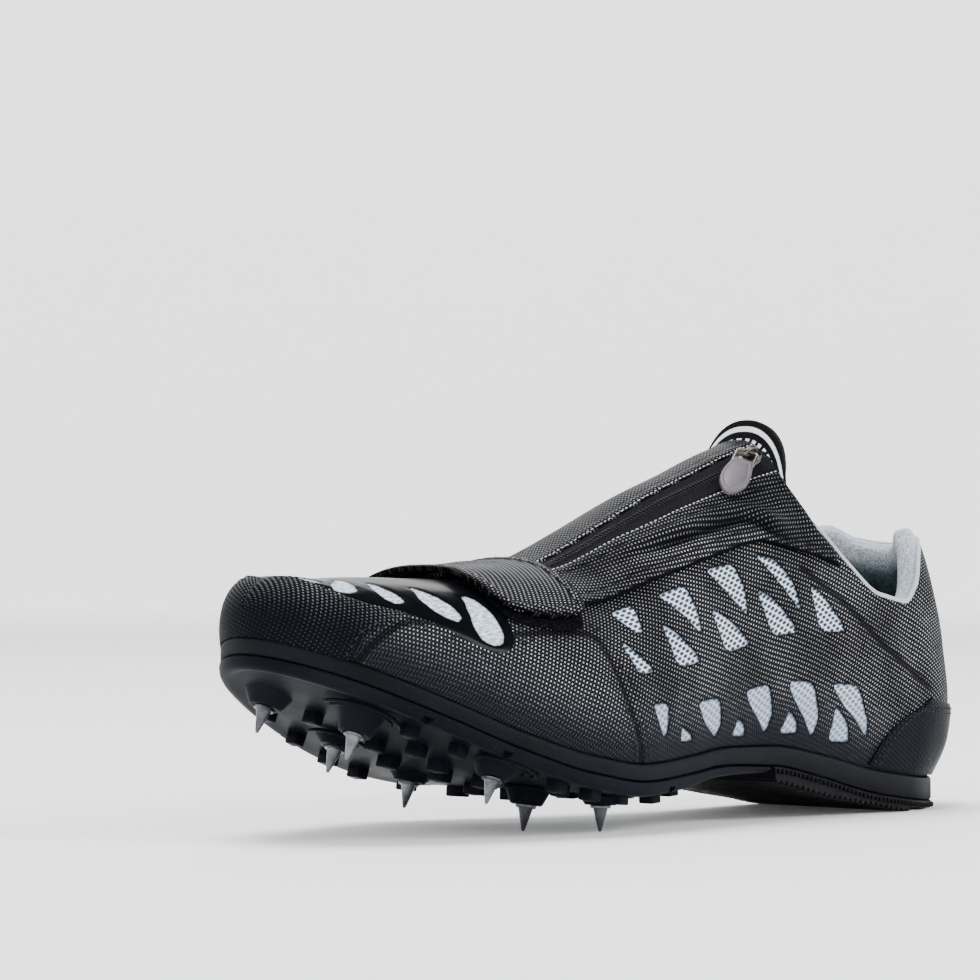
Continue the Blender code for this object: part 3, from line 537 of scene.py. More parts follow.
def sheet(bm, rows, columns, place):
    """Grid of cloth on the last: place(u, v) gives length share, girth share and height."""
    cloth = bm.loops.layers.uv.get("cloth") or bm.loops.layers.uv.new("cloth")
    along = bm.verts.layers.float.get("s") or bm.verts.layers.float.new("s")
    around = bm.verts.layers.float.get("a") or bm.verts.layers.float.new("a")
    verts = bmesh.ops.create_grid(bm, x_segments=columns, y_segments=rows, size=1.0)["verts"]
    u = np.array([(vert.co.y + 1) / 2 for vert in verts])
    v = np.array([(vert.co.x + 1) / 2 for vert in verts])
    s, a, height = place(u, v)
    points = raised(s, a, height)
    plan = dict(zip(verts, flat(s, a)))
    faces = set()
    for vert, point, share, turn in zip(verts, points, s, a):
        vert.co = point
        vert[along] = share
        vert[around] = turn
        faces.update(vert.link_faces)
    for face in faces:
        for loop in face.loops:
            loop[cloth].uv = plan[loop.vert]


def face_out(bm):
    """Merge a sheet's meeting edges and turn its faces away from the foot."""
    bmesh.ops.remove_doubles(bm, verts=bm.verts, dist=0.00002)
    bmesh.ops.recalc_face_normals(bm, faces=bm.faces)
    total = 0.0
    for face in bm.faces:
        middle = face.calc_center_median()
        total += face.normal.dot((middle - Vector((middle.x, 0.0, FOOT_MIDDLE))).normalized())
    if total < 0:
        bmesh.ops.reverse_faces(bm, faces=bm.faces)


def dress(name, bm, finish, stands_for=(), slot=None, body="shoe", wall=0.0, edge=0.0, marks=None):
    """Turn a bmesh into a finished piece that rides on its body."""
    mesh = bpy.data.meshes.new(name)
    bm.to_mesh(mesh)
    bm.free()
    made = bpy.data.objects.new(name, mesh)
    scene.collection.objects.link(made)
    mesh.materials.append(finish)
    mesh.shade_smooth()
    if marks:
        count = len(mesh.vertices)
        s = np.zeros(count, np.float32)
        a = np.zeros(count, np.float32)
        mesh.attributes["s"].data.foreach_get("value", s)
        mesh.attributes["a"].data.foreach_get("value", a)
        for title, values in marks(s.astype(float), a.astype(float)).items():
            layer = mesh.attributes.new(title, "FLOAT", "POINT")
            layer.data.foreach_set("value", np.asarray(values, np.float32))
    if wall:
        step = made.modifiers.new("wall", "SOLIDIFY")
        step.thickness = wall
        step.offset = -1.0
        step.use_even_offset = True
    if edge:
        step = made.modifiers.new("edge", "BEVEL")
        step.width = edge
        step.segments = 2
        step.limit_method = "ANGLE"
        step.angle_limit = math.radians(50)
    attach(made, body)
    if stands_for:
        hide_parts(*stands_for)
    return made


def cover(name, sheets, finish, stands_for, slot, **more):
    """Piece of cloth made of sheets laid on the last: rows, columns and place of each."""
    bm = bmesh.new()
    for rows, columns, place in sheets:
        sheet(bm, rows, columns, place)
    face_out(bm)
    return dress(name, bm, finish, stands_for, slot, **more)


def put(tree, kind, given=None, **settings):
    """Node of a kind with its settings, its inputs joined to sockets or set to values."""
    made = tree.nodes.new(kind)
    for key, value in settings.items():
        setattr(made, key, value)
    for key, value in (given or {}).items():
        if isinstance(value, bpy.types.NodeSocket):
            tree.links.new(value, made.inputs[key])
        else:
            made.inputs[key].default_value = value
    return made


def calc(tree, operation, *values, clamp=False):
    made = put(tree, "ShaderNodeMath", dict(enumerate(values)), operation=operation, use_clamp=clamp)
    return made.outputs[0]


def times(tree, first, second, clamp=False):
    return calc(tree, "MULTIPLY", first, second, clamp=clamp)


def span(tree, value, low, high, first=0.0, second=1.0):
    """Soft step of a value from one level to another."""
    given = {"Value": value, "From Min": low, "From Max": high, "To Min": first, "To Max": second}
    return put(tree, "ShaderNodeMapRange", given, interpolation_type="SMOOTHSTEP").outputs["Result"]


def blended(tree, share, first, second):
    """Colour mixed from two colours by a mask."""
    given = {0: share, 6: first, 7: second}
    made = put(tree, "ShaderNodeMix", given, data_type="RGBA", clamp_factor=True)
    return made.outputs[2]


def either(tree, share, first, second):
    """Number mixed from two numbers by a mask."""
    given = {0: share, 2: first, 3: second}
    return put(tree, "ShaderNodeMix", given, data_type="FLOAT", clamp_factor=True).outputs[0]


def mark(tree, name):
    return put(tree, "ShaderNodeAttribute", attribute_name=name).outputs["Fac"]


def cloth_place(tree):
    return put(tree, "ShaderNodeUVMap", uv_map="cloth").outputs["UV"]


def new_group(name, inputs, outputs):
    tree = bpy.data.node_groups.new(name, "ShaderNodeTree")
    for title, kind in inputs:
        tree.interface.new_socket(title, in_out="INPUT", socket_type=kind)
    for title, kind in outputs:
        tree.interface.new_socket(title, in_out="OUTPUT", socket_type=kind)
    return tree, tree.nodes.new("NodeGroupInput"), tree.nodes.new("NodeGroupOutput")


NUMBER = "NodeSocketFloat"
ARROW = "NodeSocketVector"
# Whole cells added to a place on the cloth, so that none is below zero.
CELLS_BACK = 4000.0

# Basket weave: domes of crossing threads, and a mask of their tops, where glints are painted into the colour.
basket, ins, outs = new_group(
    "basket_weave",
    (("Cloth", ARROW), ("Threads", NUMBER), ("Turn", NUMBER)),
    (("Height", NUMBER), ("PaintedGlint", NUMBER)),
)
turned = put(
    basket,
    "ShaderNodeVectorRotate",
    {"Vector": ins.outputs["Cloth"], "Angle": ins.outputs["Turn"]},
    rotation_type="Z_AXIS",
)
scaled = put(
    basket, "ShaderNodeVectorMath", {0: turned.outputs[0], "Scale": ins.outputs["Threads"]}, operation="SCALE"
)
parts = put(basket, "ShaderNodeSeparateXYZ", {0: scaled.outputs[0]})
wave_x = calc(basket, "SINE", times(basket, parts.outputs["X"], math.pi))
wave_y = calc(basket, "SINE", times(basket, parts.outputs["Y"], math.pi))
crossed = times(basket, wave_x, wave_y)
over = span(basket, crossed, 0.30, 0.88)
under = span(basket, crossed, -0.20, -0.90)
basket.links.new(calc(basket, "MULTIPLY_ADD", under, 0.55, over), outs.inputs["Height"])
basket.links.new(calc(basket, "MULTIPLY_ADD", under, 0.05, over), outs.inputs["PaintedGlint"])

# Open mesh: staggered rows of small oval holes between knitted bars.
open_mesh, ins, outs = new_group(
    "open_mesh", (("Cloth", ARROW), ("Long", NUMBER), ("High", NUMBER)), (("Hole", NUMBER), ("Bar", NUMBER))
)
parts = put(open_mesh, "ShaderNodeSeparateXYZ", {0: ins.outputs["Cloth"]})
row = calc(open_mesh, "DIVIDE", parts.outputs["Y"], ins.outputs["High"])
odd = calc(open_mesh, "MODULO", calc(open_mesh, "FLOOR", calc(open_mesh, "ADD", row, CELLS_BACK)), 2.0)
shifted = calc(
    open_mesh, "MULTIPLY_ADD", odd, 0.5, calc(open_mesh, "DIVIDE", parts.outputs["X"], ins.outputs["Long"])
)
squares = []
for cell, stretch in ((shifted, 1.75), (row, 1.30)):
    inside = calc(open_mesh, "FRACT", calc(open_mesh, "ADD", cell, CELLS_BACK))
    off = times(open_mesh, calc(open_mesh, "SUBTRACT", inside, 0.5), stretch)
    squares.append(times(open_mesh, off, off))
away = calc(open_mesh, "SQRT", calc(open_mesh, "ADD", *squares))
open_mesh.links.new(span(open_mesh, away, 0.62, 0.46), outs.inputs["Hole"])
open_mesh.links.new(span(open_mesh, away, 0.40, 0.95), outs.inputs["Bar"])

# Wear and dust: broad soft clouds and small scuffs, in the object's own space.
handled, ins, outs = new_group("handled", (("Size", NUMBER),), (("Cloud", NUMBER), ("Grain", NUMBER)))
place = put(handled, "ShaderNodeTexCoord").outputs["Object"]
cloud = put(
    handled,
    "ShaderNodeTexNoise",
    {"Vector": place, "Scale": ins.outputs["Size"], "Detail": 3.0, "Roughness": 0.55},
)
grain = put(
    handled, "ShaderNodeTexNoise", {"Vector": place, "Scale": 1900.0, "Detail": 2.0, "Roughness": 0.6}
)
handled.links.new(span(handled, cloud.outputs["Fac"], 0.32, 0.68), outs.inputs["Cloud"])
handled.links.new(grain.outputs["Fac"], outs.inputs["Grain"])


def new_finish(name, color, roughness, metallic=0.0, **more):
    """Material with its shader's plain values set, and the shader and tree to build on."""
    made = bpy.data.materials.new(name)
    made.use_nodes = True
    tree = made.node_tree
    shader = tree.nodes["Principled BSDF"]
    shader.inputs["Base Color"].default_value = (*color, 1)
    shader.inputs["Roughness"].default_value = roughness
    shader.inputs["Metallic"].default_value = metallic
    for key, value in more.items():
        shader.inputs[key.replace("_", " ")].default_value = value
    return made, tree, shader


def bump(tree, shader, height, strength, reach):
    made = put(tree, "ShaderNodeBump", {"Height": height, "Strength": strength, "Distance": reach})
    tree.links.new(made.outputs["Normal"], shader.inputs["Normal"])


def lay(tree, shader, color, rough, *bumps):
    """Join a colour, a roughness and a bump (height, strength, reach) to the shader."""
    tree.links.new(color, shader.inputs["Base Color"])
    if rough is not None:
        tree.links.new(rough, shader.inputs["Roughness"])
    if bumps:
        bump(tree, shader, *bumps)


def group(tree, used, given):
    return put(tree, "ShaderNodeGroup", given, node_tree=used)


# Black of the threads, grey of the glints painted on the weave's tops, and bluish sheen painted on the coated
# cloth near the sole.
THREAD_BLACK = (0.0010, 0.0011, 0.0015, 1)
PAINTED_GLINT_GREY = (0.50, 0.515, 0.55, 1)
LOW_SHEEN = (0.0028, 0.0032, 0.0052, 1)


def woven_finish(name, threads, turn, glint=1.0, faded=(0.003, 0.019), roughness=0.46):
    """Black basket weave with pale glints painted into its colour, fading between two heights to coated cloth
    near the sole, whose bluish colour is a painted sheen.
    """
    made, tree, shader = new_finish(name, THREAD_BLACK[:3], roughness, Specular_IOR_Level=0.014)
    cloth = cloth_place(tree)
    weave = group(tree, basket, {"Cloth": cloth, "Threads": threads, "Turn": turn})
    used = group(tree, handled, {"Size": 38.0})
    shown = calc(tree, "MULTIPLY_ADD", used.outputs["Cloud"], 0.62, 0.38)
    shown = times(tree, shown, glint)
    if faded:
        low = span(tree, mark(tree, "rise"), *faded)
        shown = times(tree, shown, calc(tree, "MULTIPLY_ADD", low, 0.95, 0.05))
    painted_glint = times(tree, weave.outputs["PaintedGlint"], shown)
    painted_glint = times(tree, painted_glint, calc(tree, "MULTIPLY_ADD", used.outputs["Grain"], 1.1, 0.35), clamp=True)
    color = blended(tree, painted_glint, THREAD_BLACK, PAINTED_GLINT_GREY)
    height = weave.outputs["Height"]
    if faded:
        color = blended(tree, low, blended(tree, painted_glint, LOW_SHEEN, PAINTED_GLINT_GREY), color)
        height = times(tree, height, calc(tree, "MULTIPLY_ADD", low, 0.75, 0.25))
    return made, tree, shader, color, height, used


def make_upper_finish():
    made, tree, shader, color, height, used = woven_finish("upper_weave", 1110.0, 0.30)
    shader.inputs["Coat Roughness"].default_value = 0.12
    names = ("quarter", "leaf", "film", "seam", "rise")
    quarter, leaf, film, seam, rise = (mark(tree, name) for name in names)
    cloth = cloth_place(tree)
    # Fine slanting lines on the coated cloth near the sole.
    parts = put(tree, "ShaderNodeSeparateXYZ", {0: cloth})
    slant = times(tree, calc(tree, "ADD", parts.outputs["X"], parts.outputs["Y"]), 4200.0)
    lines = calc(tree, "MULTIPLY_ADD", calc(tree, "SINE", slant), 0.5, 0.5)
    low = span(tree, rise, 0.026, 0.010)
    color = blended(tree, times(tree, times(tree, lines, low), 0.35), color, (0.030, 0.033, 0.042, 1))
    # Seams: a dark line with the folded cloth's edge beside it.
    line = span(tree, seam, 0.0016, 0.0006)
    color = blended(tree, times(tree, line, 0.9), color, (0.004, 0.004, 0.005, 1))
    height = calc(tree, "SUBTRACT", height, times(tree, line, 1.3))
    # Quarter windows: pale knitted mesh with a dark blue rim of painted shade round each window and just
    # inside its edge, its holes closing low down.
    mesh = group(tree, open_mesh, {"Cloth": cloth, "Long": 0.0030, "High": 0.00112})
    depth = span(tree, rise, 0.010, 0.030)
    hole = times(tree, mesh.outputs["Hole"], calc(tree, "MULTIPLY_ADD", depth, 0.45, 0.50))
    fuzz = calc(tree, "MULTIPLY_ADD", used.outputs["Grain"], 0.5, 0.5)
    pale = blended(tree, fuzz, (0.42, 0.50, 0.60, 1), (0.82, 0.88, 0.95, 1))
    pale = blended(tree, mesh.outputs["Bar"], blended(tree, 0.40, pale, (0.20, 0.28, 0.40, 1)), pale)
    pale = blended(tree, times(tree, calc(tree, "SUBTRACT", 1.0, depth), 0.50), pale, (0.15, 0.21, 0.30, 1))
    pale = blended(tree, hole, pale, (0.010, 0.016, 0.030, 1))
    # Painted shade: a dark band outside each window's edge, and darker mesh just inside it.
    rim = span(tree, quarter, 0.0009, 0.00015)
    color = blended(tree, times(tree, rim, 0.85), color, (0.0020, 0.0030, 0.0060, 1))
    opened = span(tree, quarter, 0.00012, -0.00012)
    shade = span(tree, quarter, -0.0008, 0.0)
    pale = blended(tree, times(tree, shade, 0.80), pale, (0.012, 0.020, 0.040, 1))
    color = blended(tree, opened, color, pale)
    height = either(tree, opened, height, calc(tree, "MULTIPLY_ADD", mesh.outputs["Bar"], 1.3, -1.6))
    # Gloss film over the toes, with brushed pale cloth in its leaves.
    coated = span(tree, film, 0.00012, -0.00012)
    color = blended(tree, coated, color, (0.0022, 0.0025, 0.0035, 1))
    height = either(tree, coated, height, calc(tree, "MULTIPLY_ADD", used.outputs["Cloud"], 0.35, 1.6))
    leafed = span(tree, leaf, 0.00012, -0.00012)
    stretched = {"Vector": cloth, "Scale": (520.0, 1500.0, 1.0), "Rotation": (0.0, 0.0, 0.4)}
    stretched = put(tree, "ShaderNodeMapping", stretched).outputs[0]
    brushed = put(tree, "ShaderNodeTexNoise", {"Vector": stretched, "Scale": 1.0, "Detail": 2.0})
    brushed = span(tree, brushed.outputs["Fac"], 0.35, 0.65)
    silver = blended(tree, brushed, (0.25, 0.33, 0.42, 1), (0.70, 0.77, 0.84, 1))
    # Painted shade darkens the leaves' cloth just inside their edges.
    silver = blended(tree, times(tree, span(tree, leaf, -0.0007, 0.0), 0.6), silver, (0.03, 0.05, 0.09, 1))
    color = blended(tree, leafed, color, silver)
    height = either(tree, leafed, height, calc(tree, "MULTIPLY_ADD", brushed, 0.8, -0.6))
    rough = either(tree, coated, either(tree, low, 0.48, 0.36), 0.30)
    rough = either(tree, calc(tree, "MAXIMUM", leafed, opened), rough, 0.72)
    bare = calc(tree, "SUBTRACT", 1.0, leafed)
    tree.links.new(times(tree, times(tree, coated, bare), 0.07), shader.inputs["Coat Weight"])
    lay(tree, shader, color, rough, height, 0.85, 0.00034)
    return made


def collar(s, side):
    return smooth(s, COLLAR, 1 if side < 0 else 2)


def girth(k, side):
    return k / 2 if side < 0 else 1 - k / 2


def even_rows(heel, waist, toe):
    """Shares of the length, close together where the plan rounds at heel and toe."""
    first = HEEL_ROUND * (1 - np.cos(math.pi / 2 * np.arange(heel) / heel))
    middle = np.linspace(HEEL_ROUND, LENGTH - TOE_ROUND, waist + 1)[:-1]
    final = LENGTH - TOE_ROUND * (1 - np.cos(math.pi / 2 * np.arange(toe + 1) / toe))
    return np.concatenate([first, middle, final[::-1]]) / LENGTH


UPPER_ROWS = even_rows(22, 112, 84)


def upper_side(side):
    def place(u, v):
        s = UPPER_ROWS[np.rint(u * (len(UPPER_ROWS) - 1)).astype(int)]
        a = girth(v * collar(s, side), side)
        marks = upper_marks(s, a)
        height = creased(s, a, CREASES) * ramp(marks["rise"], 0.0, 0.008)
        height += FILM_LIFT * ramp(marks["film"], 0.0008, -0.0004)
        sink = ramp(np.minimum(marks["quarter"], marks["leaf"]), 0.0006, -0.0006)
        return s, a, height - WINDOW_SINK * sink

    return place


cover(
    "upper_shell",
    [(len(UPPER_ROWS) - 1, 62, upper_side(side)) for side in (-1, 1)],
    make_upper_finish(),
    ("upper",),
    "upper_weave",
    wall=UPPER_WALL,
    marks=upper_marks,
)

# Toe panel
# A second layer of the weave, folded round the toes and stitched down along its rear
# edges. Its lower half is coated smooth.

TOE_SEAM = (
    (0.00, 0.947),
    (0.20, 0.942),
    (0.42, 0.935),
    (0.62, 0.922),
    (0.85, 0.905),
    (1.00, 0.893),
)
TOE_TOP = (
    (0.870, 0.460),
    (0.911, 0.490),
    (0.926, 0.528),
    (0.946, 0.580),
    (0.957, 0.660),
    (0.965, 0.780),
    (0.972, 0.900),
    (0.980, 1.000),
    (1.000, 1.000),
)
PANEL_LIFT = 0.00125
PANEL_WALL = 0.00075


def toe_panel_place(u, v):
    side = np.where(u < 0.5, -1, 1)
    t = np.abs(2 * u - 1)
    s = 1 - (1 - smooth(v, TOE_SEAM, 1)) * t**1.8
    k = v * smooth(s, TOE_TOP, 1)
    a = np.where(side < 0, k / 2, 1 - k / 2)
    rim = np.minimum(np.minimum((1 - t) * 0.10, (1 - v) * 0.035), 0.003)
    return s, a, PANEL_LIFT - 0.0004 * (1 - ramp(rim, 0.0, 0.0016))


def panel_marks(s, a):
    here = flat(s, a)
    edge = np.where(a < 0.5, flat(s, np.zeros(len(s)))[:, 1], flat(s, np.ones(len(s)))[:, 1])
    return {"rise": np.abs(here[:, 1] - edge)}


def clouded(tree, used, low, high):
    """Value that drifts between two levels with the wear's soft clouds."""
    return span(tree, used.outputs["Cloud"], 0.0, 1.0, low, high)


def make_toe_finish():
    made, tree, shader, color, height, used = woven_finish("toe_weave", 1260.0, 0.42, faded=(0.006, 0.028))
    lay(tree, shader, color, clouded(tree, used, 0.41, 0.54), height, 0.8, 0.00032)
    return made


def wrap_round_toes(bm):
    """Lay the panel's weave along the feather line and up from it."""
    cloth = bm.loops.layers.uv["cloth"]
    verts = list(bm.verts)
    s = np.array([vert[bm.verts.layers.float["s"]] for vert in verts])
    a = np.array([vert[bm.verts.layers.float["a"]] for vert in verts])
    round_toes = flat(np.ones(len(s)), np.zeros(len(s)))[:, 0] - flat(s, np.zeros(len(s)))[:, 0]
    wrapped = dict(zip(verts, zip(np.where(a < 0.5, -1, 1) * round_toes, panel_marks(s, a)["rise"])))
    for face in bm.faces:
        for loop in face.loops:
            loop[cloth].uv = wrapped[loop.vert]


bm = bmesh.new()
sheet(bm, 120, 40, toe_panel_place)
face_out(bm)
wrap_round_toes(bm)
dress(
    "toe_cover",
    bm,
    make_toe_finish(),
    ("toe_panel",),
    "overlay_weave",
    wall=PANEL_WALL,
    edge=0.00022,
    marks=panel_marks,
)

# Heel counter
# A thin moulded film over the heel's stiffener, its edge held by two rows of thread.

COUNTER_SEAM = ((0.00, 0.215), (0.45, 0.190), (0.75, 0.155), (1.00, 0.105))
COUNTER_FOOT = 0.012
COUNTER_TOP = 0.245
COUNTER_LIFT = 0.00110
COUNTER_WALL = 0.00070


def counter_place(u, v):
    side = np.where(u < 0.5, -1, 1)
    t = np.abs(2 * u - 1)
    s = smooth(v, COUNTER_SEAM, 1) * t**1.6
    k = COUNTER_FOOT + v * (COUNTER_TOP - COUNTER_FOOT)
    a = np.where(side < 0, k / 2, 1 - k / 2)
    rim = np.minimum((1 - t) * 0.08, (1 - v) * 0.022)
    return s, a, COUNTER_LIFT - 0.0005 * (1 - ramp(rim, 0.0, 0.0020))


def make_counter_finish():
    made, tree, shader, color, height, used = woven_finish("counter_film", 1250.0, 0.2, 0.22, None, 0.3)
    color = blended(tree, 0.84, color, (0.0042, 0.0050, 0.0080, 1))
    lay(tree, shader, color, clouded(tree, used, 0.26, 0.40), height, 0.35, 0.0002)
    return made


cover(
    "counter_cover",
    [(120, 26, counter_place)],
    make_counter_finish(),
    ("heel_counter",),
    "counter_film",
    wall=COUNTER_WALL,
    edge=0.00022,
)

# Shroud
# A cover of the same weave over the instep, zipped on the outer side. It is sewn
# to the upper along its lower edges and falls in soft folds below the zip.

SHROUD = (
    (0.00, 0.318, 0.436, 0.476, 0.715),
    (0.12, 0.316, 0.434, 0.476, 0.715),
    (0.35, 0.312, 0.426, 0.474, 0.715),
    (0.55, 0.300, 0.404, 0.466, 0.715),
    (0.75, 0.292, 0.393, 0.461, 0.715),
    (0.88, 0.262, 0.389, 0.460, 0.715),
    (1.00, 0.240, 0.386, 0.460, 0.715),
)
SHROUD_FRONT = 0.700
SLOT_FRONT = 0.645
SHROUD_REAR = (
    (0.230, 0.258),
    (0.250, 0.263),
    (0.290, 0.289),
    (0.375, 0.312),
    (0.440, 0.308),
    (0.500, 0.300),
    (0.600, 0.296),
    (0.715, 0.285),
)
SHROUD_TOP = 0.00170
SHROUD_WALL = 0.00095
# Metres of cloth, about: a whole girth over the instep, at the fold, and the shroud's length.
SHROUD_GIRTH = 0.20
FOLD_GIRTH = 0.19
SHROUD_LONG = 0.11
SLOT_SHARE = (SHROUD_FRONT - SLOT_FRONT) / (SHROUD_FRONT - 0.305)
SLOT_ROW = 14
SHROUD_WAYS = np.concatenate([np.linspace(0, SLOT_SHARE, SLOT_ROW + 1)[:-1], np.linspace(SLOT_SHARE, 1, 97)])
# Folds: from and to as shares of length and girth, then half width and depth.
FOLDS = (
    (0.470, 0.352, 0.345, 0.338, 0.0042, 0.00110),
    (0.440, 0.330, 0.330, 0.300, 0.0036, -0.00120),
    (0.365, 0.318, 0.300, 0.262, 0.0040, 0.00085),
    (0.345, 0.345, 0.310, 0.318, 0.0030, -0.00070),
    (0.560, 0.360, 0.470, 0.330, 0.0050, 0.00055),
    (0.600, 0.345, 0.520, 0.322, 0.0040, -0.00045),
    (0.640, 0.400, 0.580, 0.350, 0.0050, 0.00045),
    (0.355, 0.270, 0.285, 0.250, 0.0030, -0.00060),
    (0.430, 0.430, 0.330, 0.425, 0.0045, -0.00040),
)
# Valley of the long fold below the zip.
FOLD_LINE = (
    (0.250, 0.215),
    (0.300, 0.250),
    (0.356, 0.287),
    (0.378, 0.309),
    (0.395, 0.325),
    (0.421, 0.333),
    (0.446, 0.337),
    (0.481, 0.343),
    (0.515, 0.355),
    (0.546, 0.367),
    (0.628, 0.374),
    (0.700, 0.374),
)
INNER_FOLDS = (
    (0.620, 0.420, 0.420, 0.330, 0.0060, 0.00095),
    (0.600, 0.385, 0.400, 0.300, 0.0050, -0.00080),
    (0.660, 0.370, 0.520, 0.300, 0.0050, 0.00070),
    (0.440, 0.420, 0.330, 0.370, 0.0060, 0.00070),
    (0.400, 0.350, 0.300, 0.310, 0.0050, -0.00060),
)


def above_fold(s, a):
    """Distance above the fold's valley, and how much of the fold is left at this length."""
    away = (a - smooth(s, FOLD_LINE, 1)) * FOLD_GIRTH
    return away, ramp(s, 0.60, 0.49) * ramp(s, 0.300, 0.370) * (a < 0.47)


def long_fold(s, a):
    away, whole = above_fold(s, a)
    bulge = 0.0022 * np.exp(
        -(((away - 0.0048) / 0.0036) ** 2)
    ) + 0.0008 * np.exp(-(((away + 0.0042) / 0.0028) ** 2))
    return whole * (bulge - 0.0009 * np.exp(-((away / 0.0016) ** 2)))


def shroud_edge(way, column):
    return smooth(way, SHROUD, column)


def shroud_share(way, a):
    return SHROUD_FRONT + (smooth(a, SHROUD_REAR, 1) - SHROUD_FRONT) * way


def shroud_part(ways, low, high):
    def place(u, v):
        way = ways[np.rint(u * (len(ways) - 1)).astype(int)]
        a0 = shroud_edge(way, low)
        a1 = shroud_edge(way, high)
        a = a0 + (a1 - a0) * v
        s = shroud_share(way, a)
        outer = shroud_edge(way, 1)
        inner = shroud_edge(way, 4)
        width = np.minimum(a - outer, inner - a) * SHROUD_GIRTH
        slot = np.where(
            way > SLOT_SHARE, np.maximum(
                shroud_edge(way, 2) - a, a - shroud_edge(way, 3)
            ) * SHROUD_GIRTH, 0.02
        )
        from_edge = np.minimum(np.minimum(width, slot), (1 - way) * SHROUD_LONG)
        soft = ramp(from_edge, 0.0, 0.009)
        folds = np.where(a < 0.5, creased(s, a, FOLDS), creased(s, a, INNER_FOLDS))
        hem = 0.00030 * ramp(from_edge, 0.0004, 0.0012) * (1 - ramp(from_edge, 0.0034, 0.0044))
        folds = np.clip(folds + long_fold(s, a), -0.0009, 0.0030)
        height = SHROUD_TOP + folds * soft - 0.00035 * (1 - ramp(from_edge, 0.0, 0.0010)) + hem
        return s, a, height

    return place


def shroud_marks(s, a):
    """Distances from the shroud's sewn edges, for its hems, and masks of the painted shade in and above the
    long fold.
    """
    way = np.clip((SHROUD_FRONT - s) / (SHROUD_FRONT - smooth(a, SHROUD_REAR, 1)), 0, 1)
    across = flat(s, a)[:, 1]
    lines = [flat(s, shroud_edge(way, column))[:, 1] for column in (1, 2, 3, 4)]
    slot = np.where(
        way > SLOT_SHARE - 0.01, np.minimum(np.abs(across - lines[1]), np.abs(across - lines[2])), 1.0
    )
    hem = np.minimum(np.abs(across - lines[0]), np.abs(across - lines[3]))
    away, whole = above_fold(s, a)
    # Where painted shade falls: in the long fold's valley, and on the cloth above the fold.
    valley = whole * np.exp(-(((away - 0.0006) / 0.0017) ** 2))
    dull = np.where(a < 0.47, ramp(away, -0.0015, 0.0030), 0.75)
    return {"hem": hem, "slot": slot, "valley": valley, "dull": dull}


def away_from(tree, value, level):
    """How far a value is from a level, either way."""
    return calc(tree, "ABSOLUTE", calc(tree, "SUBTRACT", value, level))


def make_shroud_finish():
    made, tree, shader, color, height, used = woven_finish("shroud_weave", 1090.0, 0.62, 1.0, None, 0.44)
    hem = calc(tree, "MINIMUM", mark(tree, "hem"), mark(tree, "slot"))
    fold = span(tree, away_from(tree, hem, 0.0042), 0.0005, 0.0001)
    color = blended(tree, times(tree, fold, 0.85), color, (0.004, 0.004, 0.005, 1))
    height = calc(tree, "SUBTRACT", height, fold)
    # Painted shade: glints dimmed on the cloth above the long fold, and the fold's valley painted black.
    color = blended(tree, times(tree, mark(tree, "dull"), 0.52), color, THREAD_BLACK)
    color = blended(tree, times(tree, mark(tree, "valley"), 0.96), color, THREAD_BLACK)
    turned_in = span(tree, mark(tree, "hem"), 0.0013, 0.0007)
    color = blended(tree, turned_in, color, THREAD_BLACK)
    lay(tree, shader, color, clouded(tree, used, 0.40, 0.52), height, 0.75, 0.0003)
    return made


cover(
    "shroud_cover",
    [
        (len(SHROUD_WAYS) - 1, 30, shroud_part(SHROUD_WAYS, 1, 2)),
        (SLOT_ROW, 8, shroud_part(SHROUD_WAYS[: SLOT_ROW + 1], 2, 3)),
        (len(SHROUD_WAYS) - 1, 46, shroud_part(SHROUD_WAYS, 3, 4)),
    ],
    make_shroud_finish(),
    ("shroud",),
    "shroud_weave",
    wall=SHROUD_WALL,
    edge=0.00022,
    marks=shroud_marks,
)

# Zip tape and teeth
# A reversed coil zip: two dark woven tapes that meet over the teeth, with the
# coil's turns showing as small ribs along the middle.

TAPE_INSET = 0.0018
TAPE_TOP = 0.00125
TAPE_WALL = 0.0007


def tape_place(u, v):
    way = SLOT_SHARE + (1 - SLOT_SHARE) * (0.008 + 0.992 * u)
    a0 = shroud_edge(way, 2) + TAPE_INSET
    a1 = shroud_edge(way, 3) - TAPE_INSET
    a = a0 + (a1 - a0) * v
    middle = np.abs(v - 0.5)
    height = TAPE_TOP + 0.00035 * (1 - ramp(middle, 0.10, 0.26)) - 0.00030 * (1 - ramp(middle, 0.0, 0.035))
    return shroud_share(way, a), a, height


def make_tape_finish():
    made, tree, shader = new_finish("zip_tape", (0.004, 0.004, 0.005), 0.7, Specular_IOR_Level=0.03)
    cloth = cloth_place(tree)
    weave = group(tree, basket, {"Cloth": cloth, "Threads": 2300.0, "Turn": 0.78})
    used = group(tree, handled, {"Size": 60.0})
    # Glints painted on the tops of the tape's weave.
    glints = times(tree, times(tree, weave.outputs["PaintedGlint"], used.outputs["Grain"]), 0.9)
    color = blended(tree, glints, (0.0030, 0.0030, 0.0040, 1), (0.075, 0.075, 0.085, 1))
    lay(tree, shader, color, clouded(tree, used, 0.6, 0.8), weave.outputs["Height"], 0.8, 0.00018)
    return made


cover("zip_ribbon", [(110, 14, tape_place)], make_tape_finish(), ("zip_tape",), "zip_cloth", wall=TAPE_WALL)

TOOTH_PITCH = 0.00125
TOOTH_SIZE = (0.00040, 0.00095, 0.00022)


